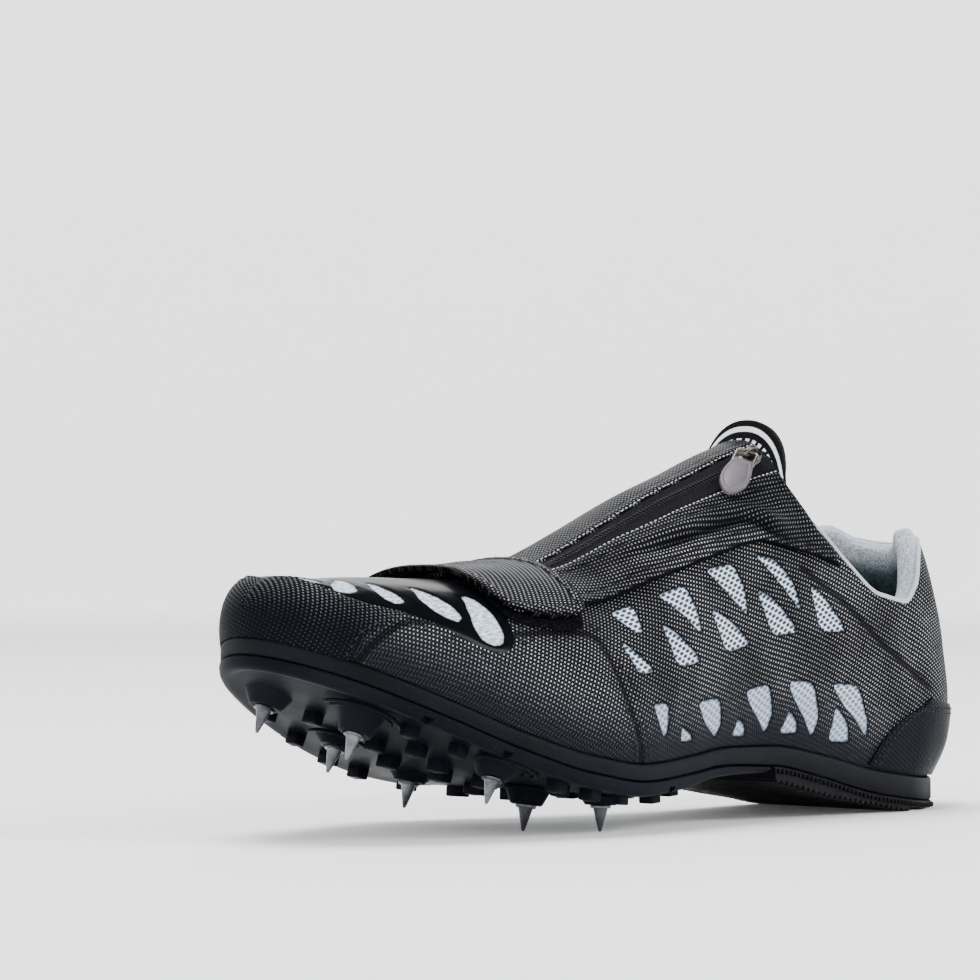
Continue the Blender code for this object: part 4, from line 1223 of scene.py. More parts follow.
def beads(bm, s, a, height, size):
    """Small rounded grains set along a line of the last, long side along it."""
    here = raised(s, a, height)
    onward = np.gradient(here, axis=0)
    upward = here - raised(s, a, height - 0.001)
    for point, step, rise in zip(here, onward, upward):
        along = Vector(step).normalized()
        normal = Vector(rise)
        normal = (normal - along * normal.dot(along)).normalized()
        across = normal.cross(along)
        frame_of = Matrix((along, across, normal)).transposed().to_4x4()
        grain = Matrix.Translation(point) @ frame_of @ Matrix.Diagonal((*size, 1))
        bmesh.ops.create_icosphere(bm, subdivisions=1, radius=1.0, matrix=grain)


def paced(s, a, pitch, height=0.0):
    """Even paces along a line of the last."""
    points = raised(s, a, height)
    gone = np.concatenate([[0], np.cumsum(np.linalg.norm(np.diff(points, axis=0), axis=1))])
    count = max(2, int(gone[-1] / pitch))
    at = (np.arange(count) + 0.5) * gone[-1] / count
    return np.interp(at, gone, s), np.interp(at, gone, a)


def plain_finish(
    name, size, dark, light, rough=None, mixed_by="Cloud", grained=None, metal=0.0, specular=0.5
):
    """Material in two shades, drifting in colour and roughness, with a fine grain if wanted."""
    made, tree, shader = new_finish(name, light[:3], 0.9, metallic=metal, Specular_IOR_Level=specular)
    used = group(tree, handled, {"Size": size})
    color = blended(tree, used.outputs[mixed_by], (*dark, 1), (*light, 1))
    lay(tree, shader, color, clouded(tree, used, *rough) if rough else None)
    if grained:
        bump(tree, shader, used.outputs["Grain"], *grained)
    return made


line_way = np.linspace(SLOT_SHARE + 0.012, 0.985, 120)
middle_a = (shroud_edge(line_way, 2) + shroud_edge(line_way, 3)) / 2
bm = bmesh.new()
for shift in (-0.0040, 0.0040):
    s, a = paced(shroud_share(line_way, middle_a), middle_a + shift, TOOTH_PITCH)
    beads(bm, s, a, 0.00150, TOOTH_SIZE)
coil_finish = plain_finish(
    "zip_coil", 200.0, (
        0.0020, 0.0020, 0.0026
    ), (0.0075, 0.0075, 0.0090), (0.28, 0.45), "Grain", specular=0.06
)
dress("zip_coil", bm, coil_finish, (), "zip_cloth")

# Forefoot strap
# An elastic band of ribbed weave over the shroud's front, bound with a thick
# double piping. Its rounded outer end closes on a dark hook-and-loop patch.

STRAP = (
    (0.280, 0.752, 0.708),
    (0.286, 0.768, 0.690),
    (0.300, 0.780, 0.677),
    (0.325, 0.786, 0.672),
    (0.395, 0.786, 0.662),
    (0.460, 0.775, 0.651),
    (0.520, 0.768, 0.645),
    (0.640, 0.765, 0.640),
    (0.800, 0.765, 0.645),
    (0.930, 0.765, 0.655),
)
STRAP_TOP = 0.00375
STRAP_WALL = 0.00150
PIPING = 0.0034
STRAP_GIRTH = 0.145


def strap_edge(s, a):
    """Distance from the strap's own edges."""
    front = smooth(a, STRAP, 1)
    rear = smooth(a, STRAP, 2)
    sides = np.minimum(front - s, s - rear) * LENGTH
    ends = (a - STRAP[0][0]) * STRAP_GIRTH
    return np.clip(np.minimum(sides, np.where(a < 0.5, ends, 1.0)), 0, 1)


def strap_place(u, v):
    first = STRAP[0][0]
    a = first + (STRAP[-1][0] - first) * (0.45 * u * u + 0.55 * u)
    front = smooth(a, STRAP, 1)
    rear = smooth(a, STRAP, 2)
    s = front + (rear - front) * v
    away = strap_edge(s, a)
    cord = 0.00042 * (
        1 - ramp(away, PIPING - 0.0006, PIPING + 0.0002)
    ) - 0.0005 * (1 - ramp(away, 0.0, 0.0012))
    groove = 0.00025 * (1 - ramp(np.abs(away - 0.0017), 0.0, 0.0005))
    swell = 0.0006 * ramp(away, 0.003, 0.014)
    return s, a, STRAP_TOP + cord - groove + swell


def strap_marks(s, a):
    return {"border": strap_edge(s, a)}


def make_strap_finish():
    made, tree, shader = new_finish("strap_weave", THREAD_BLACK[:3], 0.5, Specular_IOR_Level=0.016)
    cloth = cloth_place(tree)
    stretched = {"Vector": cloth, "Scale": (1.0, 1.9, 1.0), "Rotation": (0.0, 0.0, 0.55)}
    stretched = put(tree, "ShaderNodeMapping", stretched).outputs[0]
    weave = group(tree, basket, {"Cloth": stretched, "Threads": 900.0, "Turn": 0.0})
    bound = group(tree, basket, {"Cloth": cloth, "Threads": 1150.0, "Turn": 0.4})
    used = group(tree, handled, {"Size": 55.0})
    border = mark(tree, "border")
    piping = span(tree, border, PIPING + 0.0002, PIPING - 0.0002)
    height = either(tree, piping, weave.outputs["Height"], bound.outputs["Height"])
    # Glints painted pale grey on the tops of the weave and piping, fewer near the strap's edge.
    painted_glint = times(tree, either(tree, piping, weave.outputs["PaintedGlint"], bound.outputs["PaintedGlint"]), 0.85)
    painted_glint = times(tree, painted_glint, calc(tree, "MULTIPLY_ADD", used.outputs["Grain"], 1.1, 0.25), clamp=True)
    groove = span(tree, away_from(tree, border, PIPING), 0.00045, 0.0001)
    painted_glint = times(tree, painted_glint, span(tree, border, 0.0005, 0.0015, 0.10, 1.0))
    color = blended(tree, painted_glint, THREAD_BLACK, (0.48, 0.49, 0.53, 1))
    color = blended(tree, times(tree, groove, 0.9), color, (0.003, 0.003, 0.004, 1))
    height = calc(tree, "SUBTRACT", height, times(tree, groove, 1.4))
    lay(tree, shader, color, clouded(tree, used, 0.44, 0.58), height, 0.85, 0.0003)
    return made


cover(
    "strap_band",
    [(210, 36, strap_place)],
    make_strap_finish(),
    ("forefoot_strap",),
    "strap_weave",
    wall=STRAP_WALL,
    edge=0.0004,
    marks=strap_marks,
)

# Hook-and-loop patch under the strap's outer end, sewn to the upper.
PATCH = (
    (0.262, 0.752, 0.700),
    (0.266, 0.768, 0.688),
    (0.276, 0.776, 0.684),
    (0.300, 0.780, 0.680),
    (0.345, 0.782, 0.676),
)


def patch_place(u, v):
    a = PATCH[0][0] + (PATCH[-1][0] - PATCH[0][0]) * u**1.5
    front = smooth(a, PATCH, 1)
    rear = smooth(a, PATCH, 2)
    s = front + (rear - front) * v
    away = np.minimum(np.minimum(u, 1 - u) * 0.012, np.minimum(v, 1 - v) * 0.024)
    return s, a, 0.0009 + 0.0006 * ramp(away, 0.0, 0.0010) + 0.0004 * ramp(s, 0.700, 0.690)


def make_patch_finish():
    made, tree, shader = new_finish("patch_loops", (0.003, 0.003, 0.004), 0.9, Specular_IOR_Level=0.02)
    used = group(tree, handled, {"Size": 90.0})
    loops = span(tree, used.outputs["Grain"], 0.50, 0.75)
    color = blended(tree, loops, (0.002, 0.002, 0.003, 1), (0.016, 0.016, 0.018, 1))
    lay(tree, shader, color, None, used.outputs["Grain"], 1.0, 0.0005)
    return made


cover(
    "strap_patch", [(24, 50, patch_place)], make_patch_finish(), (), "strap_weave", wall=0.0008, edge=0.0002
)

# Tongue
# A padded knit tongue under the throat. Its back is faced with pale open mesh and
# its top is black, with a white band and a row of white bars along the edge.

TONGUE_FRONT = 0.690
TONGUE_REAR = 0.288
TONGUE_HALF = 0.145
TONGUE_LIFT_FROM = 0.330
TONGUE_RISE = 0.0090
TONGUE_TOP = -0.00180
TONGUE_WALL = 0.0046
# How far forward the top edge curves at its corners, as a share of the length.
TONGUE_ARC = 0.016
TONGUE_GIRTH = 0.155


def tongue_place(u, v):
    t = 2 * v - 1
    rear = TONGUE_REAR + TONGUE_ARC * t * t
    s = TONGUE_FRONT + (rear - TONGUE_FRONT) * u
    half = TONGUE_HALF * (0.62 + 0.38 * np.minimum(1.0, u / 0.4))
    lift = np.clip((TONGUE_LIFT_FROM - s) / (TONGUE_LIFT_FROM - TONGUE_REAR), 0, 1)
    return s, 0.5 + half * t, TONGUE_TOP + TONGUE_RISE * lift**3 * (1 - 0.45 * t * t)


def make_tongue_finish():
    made, tree, shader = new_finish("tongue_cloth", (0.5, 0.55, 0.6), 0.8, Specular_IOR_Level=0.05)
    cloth = cloth_place(tree)
    used = group(tree, handled, {"Size": 60.0})
    mesh = group(tree, open_mesh, {"Cloth": cloth, "Long": 0.0034, "High": 0.0013})
    pale = blended(tree, used.outputs["Grain"], (0.55, 0.61, 0.67, 1), (0.82, 0.86, 0.90, 1))
    pale = blended(tree, mesh.outputs["Hole"], pale, (0.03, 0.04, 0.06, 1))
    rear = mark(tree, "rear")
    first = span(tree, away_from(tree, rear, 0.0013), 0.00045, 0.00030)
    second = span(tree, away_from(tree, rear, 0.0040), 0.00120, 0.00105)
    ticks = calc(tree, "SINE", times(tree, mark(tree, "across"), 2600.0))
    second = times(tree, second, span(tree, ticks, -0.25, 0.0))
    printed = blended(
        tree, calc(tree, "MAXIMUM", first, second), (0.0035, 0.0035, 0.0045, 1), (0.80, 0.83, 0.87, 1)
    )
    top = span(tree, rear, 0.0072, 0.0069)
    color = blended(tree, top, pale, printed)
    weave = group(tree, basket, {"Cloth": cloth, "Threads": 1500.0, "Turn": 0.5})
    height = either(tree, top, mesh.outputs["Bar"], weave.outputs["Height"])
    lay(tree, shader, color, clouded(tree, used, 0.7, 0.85), height, 0.8, 0.0003)
    return made


def tongue_marks(s, a):
    """Distance down from the tongue's rounded top edge, and across it."""
    turn = (a - 0.5) / TONGUE_HALF
    return {"rear": (s - TONGUE_REAR - TONGUE_ARC * turn * turn) * LENGTH, "across": (a - 0.5) * TONGUE_GIRTH}


tongue = cover(
    "tongue_pad",
    [(110, 36, tongue_place)],
    make_tongue_finish(),
    ("tongue",),
    "tongue_cloth",
    wall=TONGUE_WALL,
    edge=0.0016,
    marks=tongue_marks,
)
tongue.modifiers["edge"].segments = 4

# Collar lining and binding
# Brushed pale lining over a foam collar, rolled over the rim and bound there. It darkens down inside the shoe
# to a deep green-blue, partly its own colour and partly painted shade.

LINING_GAP = 0.00135
LINING_OVER = 0.00165
LINING_WALL = 0.0044
LINING_REACH = 0.305
LINING_FOOT = 0.700
RIM_ROWS = UPPER_ROWS[UPPER_ROWS < LINING_REACH]
# Crest of the roll as a share of the collar's height: two raised corners beside the heel's dip.
CREST = (
    (0.000, 1.012),
    (0.012, 1.018),
    (0.034, 1.052),
    (0.054, 1.046),
    (0.082, 1.020),
    (0.115, 1.006),
    (0.305, 1.004),
)


def signed_power(value, power):
    return np.sign(value) * np.abs(value) ** power


def lining_place(side):
    def place(u, v):
        s = RIM_ROWS[np.rint(u * (len(RIM_ROWS) - 1)).astype(int)]
        turn = 2 * math.pi * v
        crest = smooth(s, CREST, 1)
        share = LINING_FOOT + (crest - LINING_FOOT) * signed_power(np.cos(turn), 0.55)
        inward = 0.5 - 0.5 * signed_power(np.sin(turn), 0.45)
        swell = 0.0018 * ramp(share, 0.62, 0.86) * ramp(s, 0.22, 0.10) + 0.0008 * ramp(share, 0.75, 0.95)
        depth = (LINING_WALL + swell) * inward * (0.35 + 0.65 * ramp(s, LINING_REACH, LINING_REACH - 0.06))
        depth = depth + LINING_GAP - LINING_OVER * ramp(share, 0.955, 0.992) * (1 - inward)
        k = collar(s, side) * share
        return s, girth(k, side), -depth

    return place


def lining_marks(s, a):
    """Share of the collar's height, 1 at the rim."""
    side = np.where(a < 0.5, 2 * a, 2 - 2 * a)
    whole = np.where(a < 0.5, smooth(s, COLLAR, 1), smooth(s, COLLAR, 2))
    return {"height": side / whole}


def make_lining_finish():
    made, tree, shader = new_finish("lining_cloth", (0.4, 0.45, 0.5), 0.9, Specular_IOR_Level=0.05)
    used = group(tree, handled, {"Size": 45.0})
    place = put(tree, "ShaderNodeTexCoord").outputs["Object"]
    nap = put(tree, "ShaderNodeTexNoise", {"Vector": place, "Scale": 1300.0, "Detail": 3.0}).outputs["Fac"]
    high = mark(tree, "height")
    brushed = span(tree, nap, 0.3, 0.7)
    pale = blended(tree, brushed, (0.24, 0.275, 0.32, 1), (0.50, 0.535, 0.585, 1))
    # Lower inside the shoe the lining darkens and turns deep green-blue: its own colour and painted shade
    # together.
    inner = blended(tree, brushed, (0.028, 0.044, 0.054, 1), (0.070, 0.096, 0.114, 1))
    rim = span(tree, calc(tree, "MULTIPLY_ADD", used.outputs["Cloud"], 0.03, high), 0.92, 1.01)
    color = blended(tree, rim, inner, pale)
    deep = span(tree, calc(tree, "MULTIPLY_ADD", used.outputs["Cloud"], 0.06, high), 0.95, 0.82)
    color = blended(tree, deep, color, (0.004, 0.022, 0.024, 1))
    lay(tree, shader, color, span(tree, nap, 0.3, 0.7, 0.82, 0.98), nap, 0.7, 0.0005)
    return made


bm = bmesh.new()
for side in (-1, 1):
    sheet(bm, len(RIM_ROWS) - 1, 40, lining_place(side))
bmesh.ops.remove_doubles(bm, verts=bm.verts, dist=0.00002)
ends = [edge for edge in bm.edges if edge.is_boundary]
bmesh.ops.holes_fill(bm, edges=ends, sides=0)
bmesh.ops.recalc_face_normals(bm, faces=bm.faces)
lining = dress("collar_pad", bm, make_lining_finish(), ("collar_lining",), "lining_cloth", marks=lining_marks)

BINDING_RADIUS = 0.00075


def follow(points):
    """A frame at each point of a line, with Z along it and no twist from one to the next."""
    points = [Vector(point) for point in points]
    frames = []
    side = None
    for i, point in enumerate(points):
        before = points[i - 1] if i else point
        after = points[i + 1] if i < len(points) - 1 else point
        along = (after - before).normalized()
        if side is None:
            side = along.orthogonal().normalized()
        side = (side - along * side.dot(along)).normalized()
        frames.append(
            Matrix.Translation(point) @ Matrix((side, along.cross(side), along)).transposed().to_4x4()
        )
    return frames


def tube(bm, points, radius, sides=10):
    """Round cord with closed ends, a ring drawn on from point to point."""
    frames = follow(points)
    ring = bmesh.ops.create_circle(bm, segments=sides, radius=radius, matrix=frames[0])["verts"]
    edges = list({edge for vert in ring for edge in vert.link_edges})
    first = edges
    for before, after in zip(frames[:-1], frames[1:]):
        made = bmesh.ops.extrude_edge_only(bm, edges=edges)["geom"]
        ring = [item for item in made if isinstance(item, bmesh.types.BMVert)]
        edges = [item for item in made if isinstance(item, bmesh.types.BMEdge)]
        edges = [edge for edge in edges if all(vert in ring for vert in edge.verts)]
        bmesh.ops.transform(bm, matrix=after @ before.inverted(), verts=ring)
    bmesh.ops.holes_fill(bm, edges=first + edges, sides=0)


outer_rim = raised(RIM_ROWS[::-1], collar(RIM_ROWS[::-1], -1) / 2, -0.0004)
inner_rim = raised(RIM_ROWS, 1 - collar(RIM_ROWS, 1) / 2, -0.0004)
bm = bmesh.new()
tube(bm, list(outer_rim) + list(inner_rim[1:]), BINDING_RADIUS)
bmesh.ops.recalc_face_normals(bm, faces=bm.faces)

binding_finish = plain_finish(
    "binding_cloth", 80.0, (0.26, 0.29, 0.33), (0.54, 0.57, 0.63), None, "Grain", (0.6, 0.0003), specular=0.05
)
dress("collar_binding", bm, binding_finish, (), "lining_cloth")

# Insole
# A thin foam footbed faced with dark cloth, lying on the midsole.

INSOLE_THICK = 0.0035
INSOLE_INSET = 0.0026


def feather_line(rows, side, grow):
    """Points of the feather line moved outwards in plan."""
    a = 0.0 if side < 0 else 1.0
    turn = np.full(len(rows), a)
    here = last(rows, turn)[:, :2]
    along = last(np.clip(rows + 0.0005, 0, 1), turn)[:, :2] - last(np.clip(rows - 0.0005, 0, 1), turn)[:, :2]
    normal = np.stack([-along[:, 1], along[:, 0]], -1) * -side
    normal[rows <= 0] = (1.0, 0.0)
    normal[rows >= 1] = (-1.0, 0.0)
    normal = normal / np.linalg.norm(normal, axis=1, keepdims=True)
    return here + normal * grow


def slab(rows, columns, levels):
    """Closed slab over rows of the feather line. Levels from top to bottom: growth, height(x, s)."""
    bm = bmesh.new()
    row_tag = bm.verts.layers.int.new("row")
    column_tag = bm.verts.layers.int.new("column")
    made = bmesh.ops.create_grid(bm, x_segments=columns, y_segments=len(rows) - 1, size=1.0)
    for vert in made["verts"]:
        vert[row_tag] = round((vert.co.y + 1) / 2 * (len(rows) - 1))
        vert[column_tag] = round((vert.co.x + 1) / 2 * columns)

    def move(verts, grow, height):
        left = feather_line(rows, -1, grow)
        right = feather_line(rows, 1, grow)
        for vert in verts:
            row = vert[row_tag]
            x, y = left[row] + (right[row] - left[row]) * (vert[column_tag] / columns)
            vert.co = Vector((x, y, float(height(x, rows[row]))))

    move(bm.verts, *levels[0])
    faces = list(bm.faces)
    for number, (grow, height) in enumerate(levels[1:]):
        within = faces
        made = bmesh.ops.extrude_face_region(bm, geom=faces)
        verts = [item for item in made["geom"] if isinstance(item, bmesh.types.BMVert)]
        faces = [item for item in made["geom"] if isinstance(item, bmesh.types.BMFace)]
        if number > 0:
            bmesh.ops.delete(bm, geom=within, context="FACES")
        move(verts, grow, height)
    bmesh.ops.remove_doubles(bm, verts=bm.verts, dist=0.00001)
    bmesh.ops.recalc_face_normals(bm, faces=bm.faces)
    if bm.calc_volume(signed=True) < 0:
        bmesh.ops.reverse_faces(bm, faces=bm.faces)
    return bm


def make_insole_finish():
    made, tree, shader = new_finish("insole_cloth", (0.01, 0.02, 0.022), 0.9, Specular_IOR_Level=0.05)
    used = group(tree, handled, {"Size": 50.0})
    place = put(tree, "ShaderNodeTexCoord").outputs["Object"]
    weave = group(tree, basket, {"Cloth": place, "Threads": 1400.0, "Turn": 0.78})
    # Glints painted lighter on the tops of the insole's weave.
    color = blended(tree, weave.outputs["PaintedGlint"], (0.006, 0.014, 0.016, 1), (0.030, 0.045, 0.048, 1))
    color = blended(tree, times(tree, used.outputs["Cloud"], 0.3), color, (0.008, 0.014, 0.016, 1))
    lay(tree, shader, color, None, weave.outputs["Height"], 0.6, 0.0003)
    return made


INSOLE_ROWS = 0.018 + 0.970 * even_rows(10, 36, 26)
bm = slab(
    INSOLE_ROWS,
    12,
    (
        (-INSOLE_INSET - 0.0008, lambda x, s: feather_height(s) + INSOLE_THICK),
        (-INSOLE_INSET, lambda x, s: feather_height(s) + INSOLE_THICK - 0.0006),
        (-INSOLE_INSET, lambda x, s: feather_height(s)),
    ),
)
insole = dress("footbed", bm, make_insole_finish(), ("insole",), "insole_cloth")

# Midsole
# A moulded wedge of dark matte foam that runs the whole length under the upper,
# with a soft rounded edge above.

FIT_GAP = 0.0003
MIDSOLE_TOE = 0.0046
MIDSOLE_HEEL = 0.0068
MIDSOLE_FLANGE = 0.0012


def midsole_bottom(s):
    thick = MIDSOLE_TOE + (MIDSOLE_HEEL - MIDSOLE_TOE) * (1 - np.clip((s - 0.25) / 0.25, 0, 1))
    return feather_height(s) - thick

SOLE_ROWS = even_rows(20, 90, 50)
bm = slab(
    SOLE_ROWS,
    6,
    (
        (-0.0006, lambda x, s: feather_height(s) - FIT_GAP + 0.0001),
        (MIDSOLE_FLANGE * 0.55, lambda x, s: feather_height(s) - FIT_GAP + 0.0003),
        (MIDSOLE_FLANGE * 0.95, lambda x, s: feather_height(s) - FIT_GAP - 0.0003),
        (MIDSOLE_FLANGE, lambda x, s: feather_height(s) - FIT_GAP - 0.0012),
        (MIDSOLE_FLANGE, lambda x, s: midsole_bottom(s) + 0.0004),
        (MIDSOLE_FLANGE * 0.6, lambda x, s: midsole_bottom(s)),
    ),
)
foam = plain_finish(
    "midsole_foam",
    35.0,
    (0.0030, 0.0034, 0.0048),
    (0.0060, 0.0068, 0.0095),
    (0.44, 0.60),
    grained=(0.35, 0.00015),
    specular=0.045,
)
dress("midsole_wedge", bm, foam, ("midsole",), "midsole_foam")

# Spike plate
# Injection-moulded nylon, dark blue-grey and half glossy, with a rounded nose, a
# boss round each spike, block lugs, and notches cut in its side wall.

PLATE_REAR = 0.390
PLATE_THICK = 0.0042
PLATE_FLANGE = 0.0016
BOSS_TOP = 0.0047
BOSS_FOOT = 0.0070
BOSS_SINK = 0.0012
BOSS_HEIGHT = 0.0034
SPIKE_LENGTH = 0.0066
FLANGE_THICK = 0.0008
SPIKE_SEAT = SPIKE_LENGTH + FLANGE_THICK + 0.0001
# Spikes: name, share of the length, place across, and its boss's height as a share (None: to the floor).
SPIKES = (
    ("spike_1", 0.933, 0.155, 0.85),
    ("spike_2", 0.897, -0.113, 1.60),
    ("spike_3", 0.828, 0.186, 0.55),
    ("spike_4", 0.776, -0.299, 0.95),
    ("spike_5", 0.722, 0.196, 0.55),
    ("spike_6", 0.666, -0.124, None),
    ("spike_7", 0.624, -0.299, None),
)
NOTCH_SIZE = (0.0028, 0.0044, 0.0042)
NOTCHES = ((0.882, -1), (0.803, -1), (0.578, -1), (0.835, 1), (0.692, 1))


def plate_thick(s):
    return PLATE_THICK * (0.45 + 0.55 * np.clip((s - PLATE_REAR) / 0.16, 0, 1))


def plate_top(s):
    return midsole_bottom(s) - FIT_GAP


def floor_frame(x, y, share):
    """Frame on the plate's underside at a place, turned with its slope."""
    return Matrix.Translation((x, y, float(plate_floor(share)))) @ Matrix.Rotation(plate_slope(share), 4, "Y")


def block(bm, matrix, rounding, segments):
    """Box with rounded edges."""
    verts = bmesh.ops.create_cube(bm, size=1.0, matrix=matrix)["verts"]
    edges = list({edge for vert in verts for edge in vert.link_edges})
    bmesh.ops.bevel(
        bm,
        geom=edges,
        offset=rounding,
        offset_type="OFFSET",
        segments=segments,
        profile=0.5,
        affect="EDGES",
        material=-1,
    )


def plate_floor(s):
    return plate_top(s) - plate_thick(s)


def plate_slope(s):
    return math.atan2(float(feather_height(s + 0.01) - feather_height(s - 0.01)), 0.02 * LENGTH)

plate_finish = plain_finish(
    "plate_nylon",
    30.0,
    (0.0030, 0.0036, 0.0056),
    (0.0060, 0.0070, 0.0100),
    (0.34, 0.46),
    grained=(0.18, 0.0001),
    specular=0.020,
)
PLATE_ROWS = np.concatenate(
    [
        np.linspace(PLATE_REAR, 0.62, 40)[:-1],
        np.linspace(0.62, 0.86, 44)[:-1],
        1 - 0.14 * np.linspace(1, 0, 44) ** 1.9,
    ]
)
bm = slab(
    PLATE_ROWS,
    10,
    (
        (PLATE_FLANGE * 0.55, lambda x, s: plate_top(s)),
        (PLATE_FLANGE * 0.90, lambda x, s: plate_top(s) - 0.0003),
        (PLATE_FLANGE, lambda x, s: plate_top(s) - 0.0009),
        (PLATE_FLANGE * 0.90, lambda x, s: plate_top(s) - plate_thick(s) * 0.55),
        (PLATE_FLANGE * 0.60, lambda x, s: plate_top(s) - plate_thick(s) + 0.0009),
        (0.0, lambda x, s: plate_top(s) - plate_thick(s) + 0.0003),
        (-0.0012, lambda x, s: plate_top(s) - plate_thick(s)),
        (-0.0030, lambda x, s: plate_top(s) - plate_thick(s) + 0.0004),
    ),
)
plate = dress("spike_plate", bm, plate_finish, ("outsole_plate",), "plate_nylon")

bm = bmesh.new()
for share, side in NOTCHES:
    x, y = feather_line(np.array([share]), side, PLATE_FLANGE)[0]
    bmesh.ops.create_cube(bm, size=1.0, matrix=floor_frame(x, y, share) @ Matrix.Diagonal((*NOTCH_SIZE, 1)))
notch_mesh = bpy.data.meshes.new("notch_cutter")
bm.to_mesh(notch_mesh)
bm.free()
notch_cutter = bpy.data.objects.new("notch_cutter", notch_mesh)
scene.collection.objects.link(notch_cutter)
notching = plate.modifiers.new("notches", "BOOLEAN")
notching.solver = "EXACT"
notching.object = notch_cutter
bpy.context.view_layer.update()
shaped = bpy.data.meshes.new_from_object(plate.evaluated_get(bpy.context.evaluated_depsgraph_get()))
plate.modifiers.remove(notching)
plate.data = shaped
bpy.data.objects.remove(notch_cutter)
shaped.shade_smooth()
shaped.set_sharp_from_angle(angle=math.radians(38))


def spike_frame(share, across, boss):
    """Frame at a spike's tip with Z up its axis into the plate, and its boss's height."""
    slope = plate_slope(share)
    low = float(plate_floor(share))
    height = low / math.cos(slope) - SPIKE_SEAT if boss is None else boss * BOSS_HEIGHT
    reach = SPIKE_SEAT + height
    tip = (
        HEEL_BACK - share * LENGTH - reach * math.sin(slope),
        across * BALL_WIDTH,
        low - reach * math.cos(slope),
    )
    return Matrix.Translation(tip) @ Matrix.Rotation(slope, 4, "Y"), height


bm = bmesh.new()
for name, share, across, boss in SPIKES:
    frame_of, height = spike_frame(share, across, boss)
    depth = height + BOSS_SINK
    rings = (
        (0.0, 0.00025),
        (0.0030, 0.00025),
        (0.0034, -0.00005),
        (BOSS_TOP - 0.0004, 0.0),
        (BOSS_TOP - 0.0001, 0.0002),
        (BOSS_TOP + 0.0001, 0.0006),
        (BOSS_FOOT - 0.0002, depth - 0.0003),
        (BOSS_FOOT + 0.0004, depth),
        (0.0, depth),
    )
    fresh = lathe(bm, [(radius, SPIKE_SEAT + rise) for radius, rise in rings], 40)
    bmesh.ops.transform(bm, matrix=frame_of, verts=fresh)
bmesh.ops.remove_doubles(bm, verts=bm.verts, dist=0.00001)
bmesh.ops.recalc_face_normals(bm, faces=bm.faces)
bosses = dress("spike_bosses", bm, plate_finish, (), "plate_nylon")
bosses.data.set_sharp_from_angle(angle=math.radians(50))

RIDGE_RADIUS = 0.00055
# Crescent ridges beside the bosses. Columns: spike, start and end of its sweep in degrees, radius.
CRESCENTS = (
    (1, 150.0, 330.0, 0.0088),
    (1, 160.0, 320.0, 0.0112),
    (2, 150.0, 300.0, 0.0088),
    (3, 190.0, 350.0, 0.0090),
    (3, 200.0, 340.0, 0.0115),
    (5, 180.0, 330.0, 0.0090),
    (6, 180.0, 350.0, 0.0090),
)
bm = bmesh.new()
for number, start, stop, radius in CRESCENTS:
    frame_of, height = spike_frame(*SPIKES[number][1:])
    base_z = SPIKE_SEAT + height - 0.0001
    line = []
    for i in range(25):
        turn = math.radians(start + (stop - start) * i / 24)
        line.append(frame_of @ Vector((radius * math.cos(turn), radius * math.sin(turn), base_z)))
    tube(bm, line, RIDGE_RADIUS, 8)
bmesh.ops.recalc_face_normals(bm, faces=bm.faces)
dress("plate_ridges", bm, plate_finish, (), "plate_nylon")

# Lugs: share of the length, place across, then length, width and depth as shares of a lug's.
LUGS = (
    (0.542, 0.10, 1.00, 0.83, 0.79),
    (0.542, 0.30, 1.00, 1.00, 0.71),
    (0.542, 0.62, 1.00, 1.00, 0.71),
    (0.542, 0.88, 1.00, 0.83, 0.71),
    (0.585, 0.07, 1.00, 0.83, 0.93),
    (0.585, 0.45, 1.00, 1.17, 0.86),
    (0.585, 0.72, 1.00, 1.00, 0.86),
    (0.585, 0.92, 1.00, 0.83, 0.86),
    (0.642, 0.05, 0.90, 0.67, 0.86),
    (0.631, 0.55, 1.00, 1.17, 1.00),
    (0.631, 0.80, 1.00, 1.00, 0.93),
    (0.682, 0.06, 1.00, 0.83, 1.00),
    (0.703, 0.12, 0.90, 0.75, 1.00),
    (0.680, 0.55, 1.00, 1.17, 1.00),
    (0.680, 0.86, 1.00, 0.83, 0.93),
    (0.725, 0.06, 1.00, 0.83, 1.00),
    (0.728, 0.36, 1.00, 1.17, 1.00),
    (0.746, 0.50, 1.00, 1.00, 1.00),
    (0.739, 0.90, 1.00, 0.83, 0.93),
    (0.778, 0.40, 0.90, 1.00, 0.93),
    (0.782, 0.62, 1.00, 1.00, 0.93),
    (0.785, 0.90, 1.00, 0.83, 0.93),
    (0.825, 0.12, 1.00, 0.75, 0.93),
    (0.821, 0.34, 0.90, 0.92, 0.93),
    (0.828, 0.52, 0.90, 0.92, 0.86),
    (0.835, 0.91, 0.90, 0.75, 0.86),
    (0.868, 0.16, 0.90, 0.75, 0.86),
    (0.868, 0.42, 0.90, 0.83, 0.79),
    (0.889, 0.62, 0.90, 0.83, 0.79),
    (0.893, 0.88, 0.90, 0.67, 0.79),
)
LUG_LONG = 0.0040
LUG_WIDE = 0.0060
LUG_DEEP = 0.0028
LUG_SINK = 0.0016
bm = bmesh.new()
for share, across, long, wide, deep in LUGS:
    left = feather_line(np.array([share]), -1, 0.0)[0]
    right = feather_line(np.array([share]), 1, 0.0)[0]
    x, y = left + (right - left) * across
    size = Matrix.Diagonal((long * LUG_LONG, wide * LUG_WIDE, deep * LUG_DEEP + LUG_SINK, 1))
    middle = Matrix.Translation((0, 0, (LUG_SINK - deep * LUG_DEEP) / 2))
    block(bm, floor_frame(x, y, share) @ middle @ size, 0.00045, 2)
dress("plate_lugs", bm, plate_finish, (), "plate_nylon")

# Heel tread
# Black ribbed rubber glued under the heel. Its ribs run across, and a row of
# small teeth stands along the top of its side.

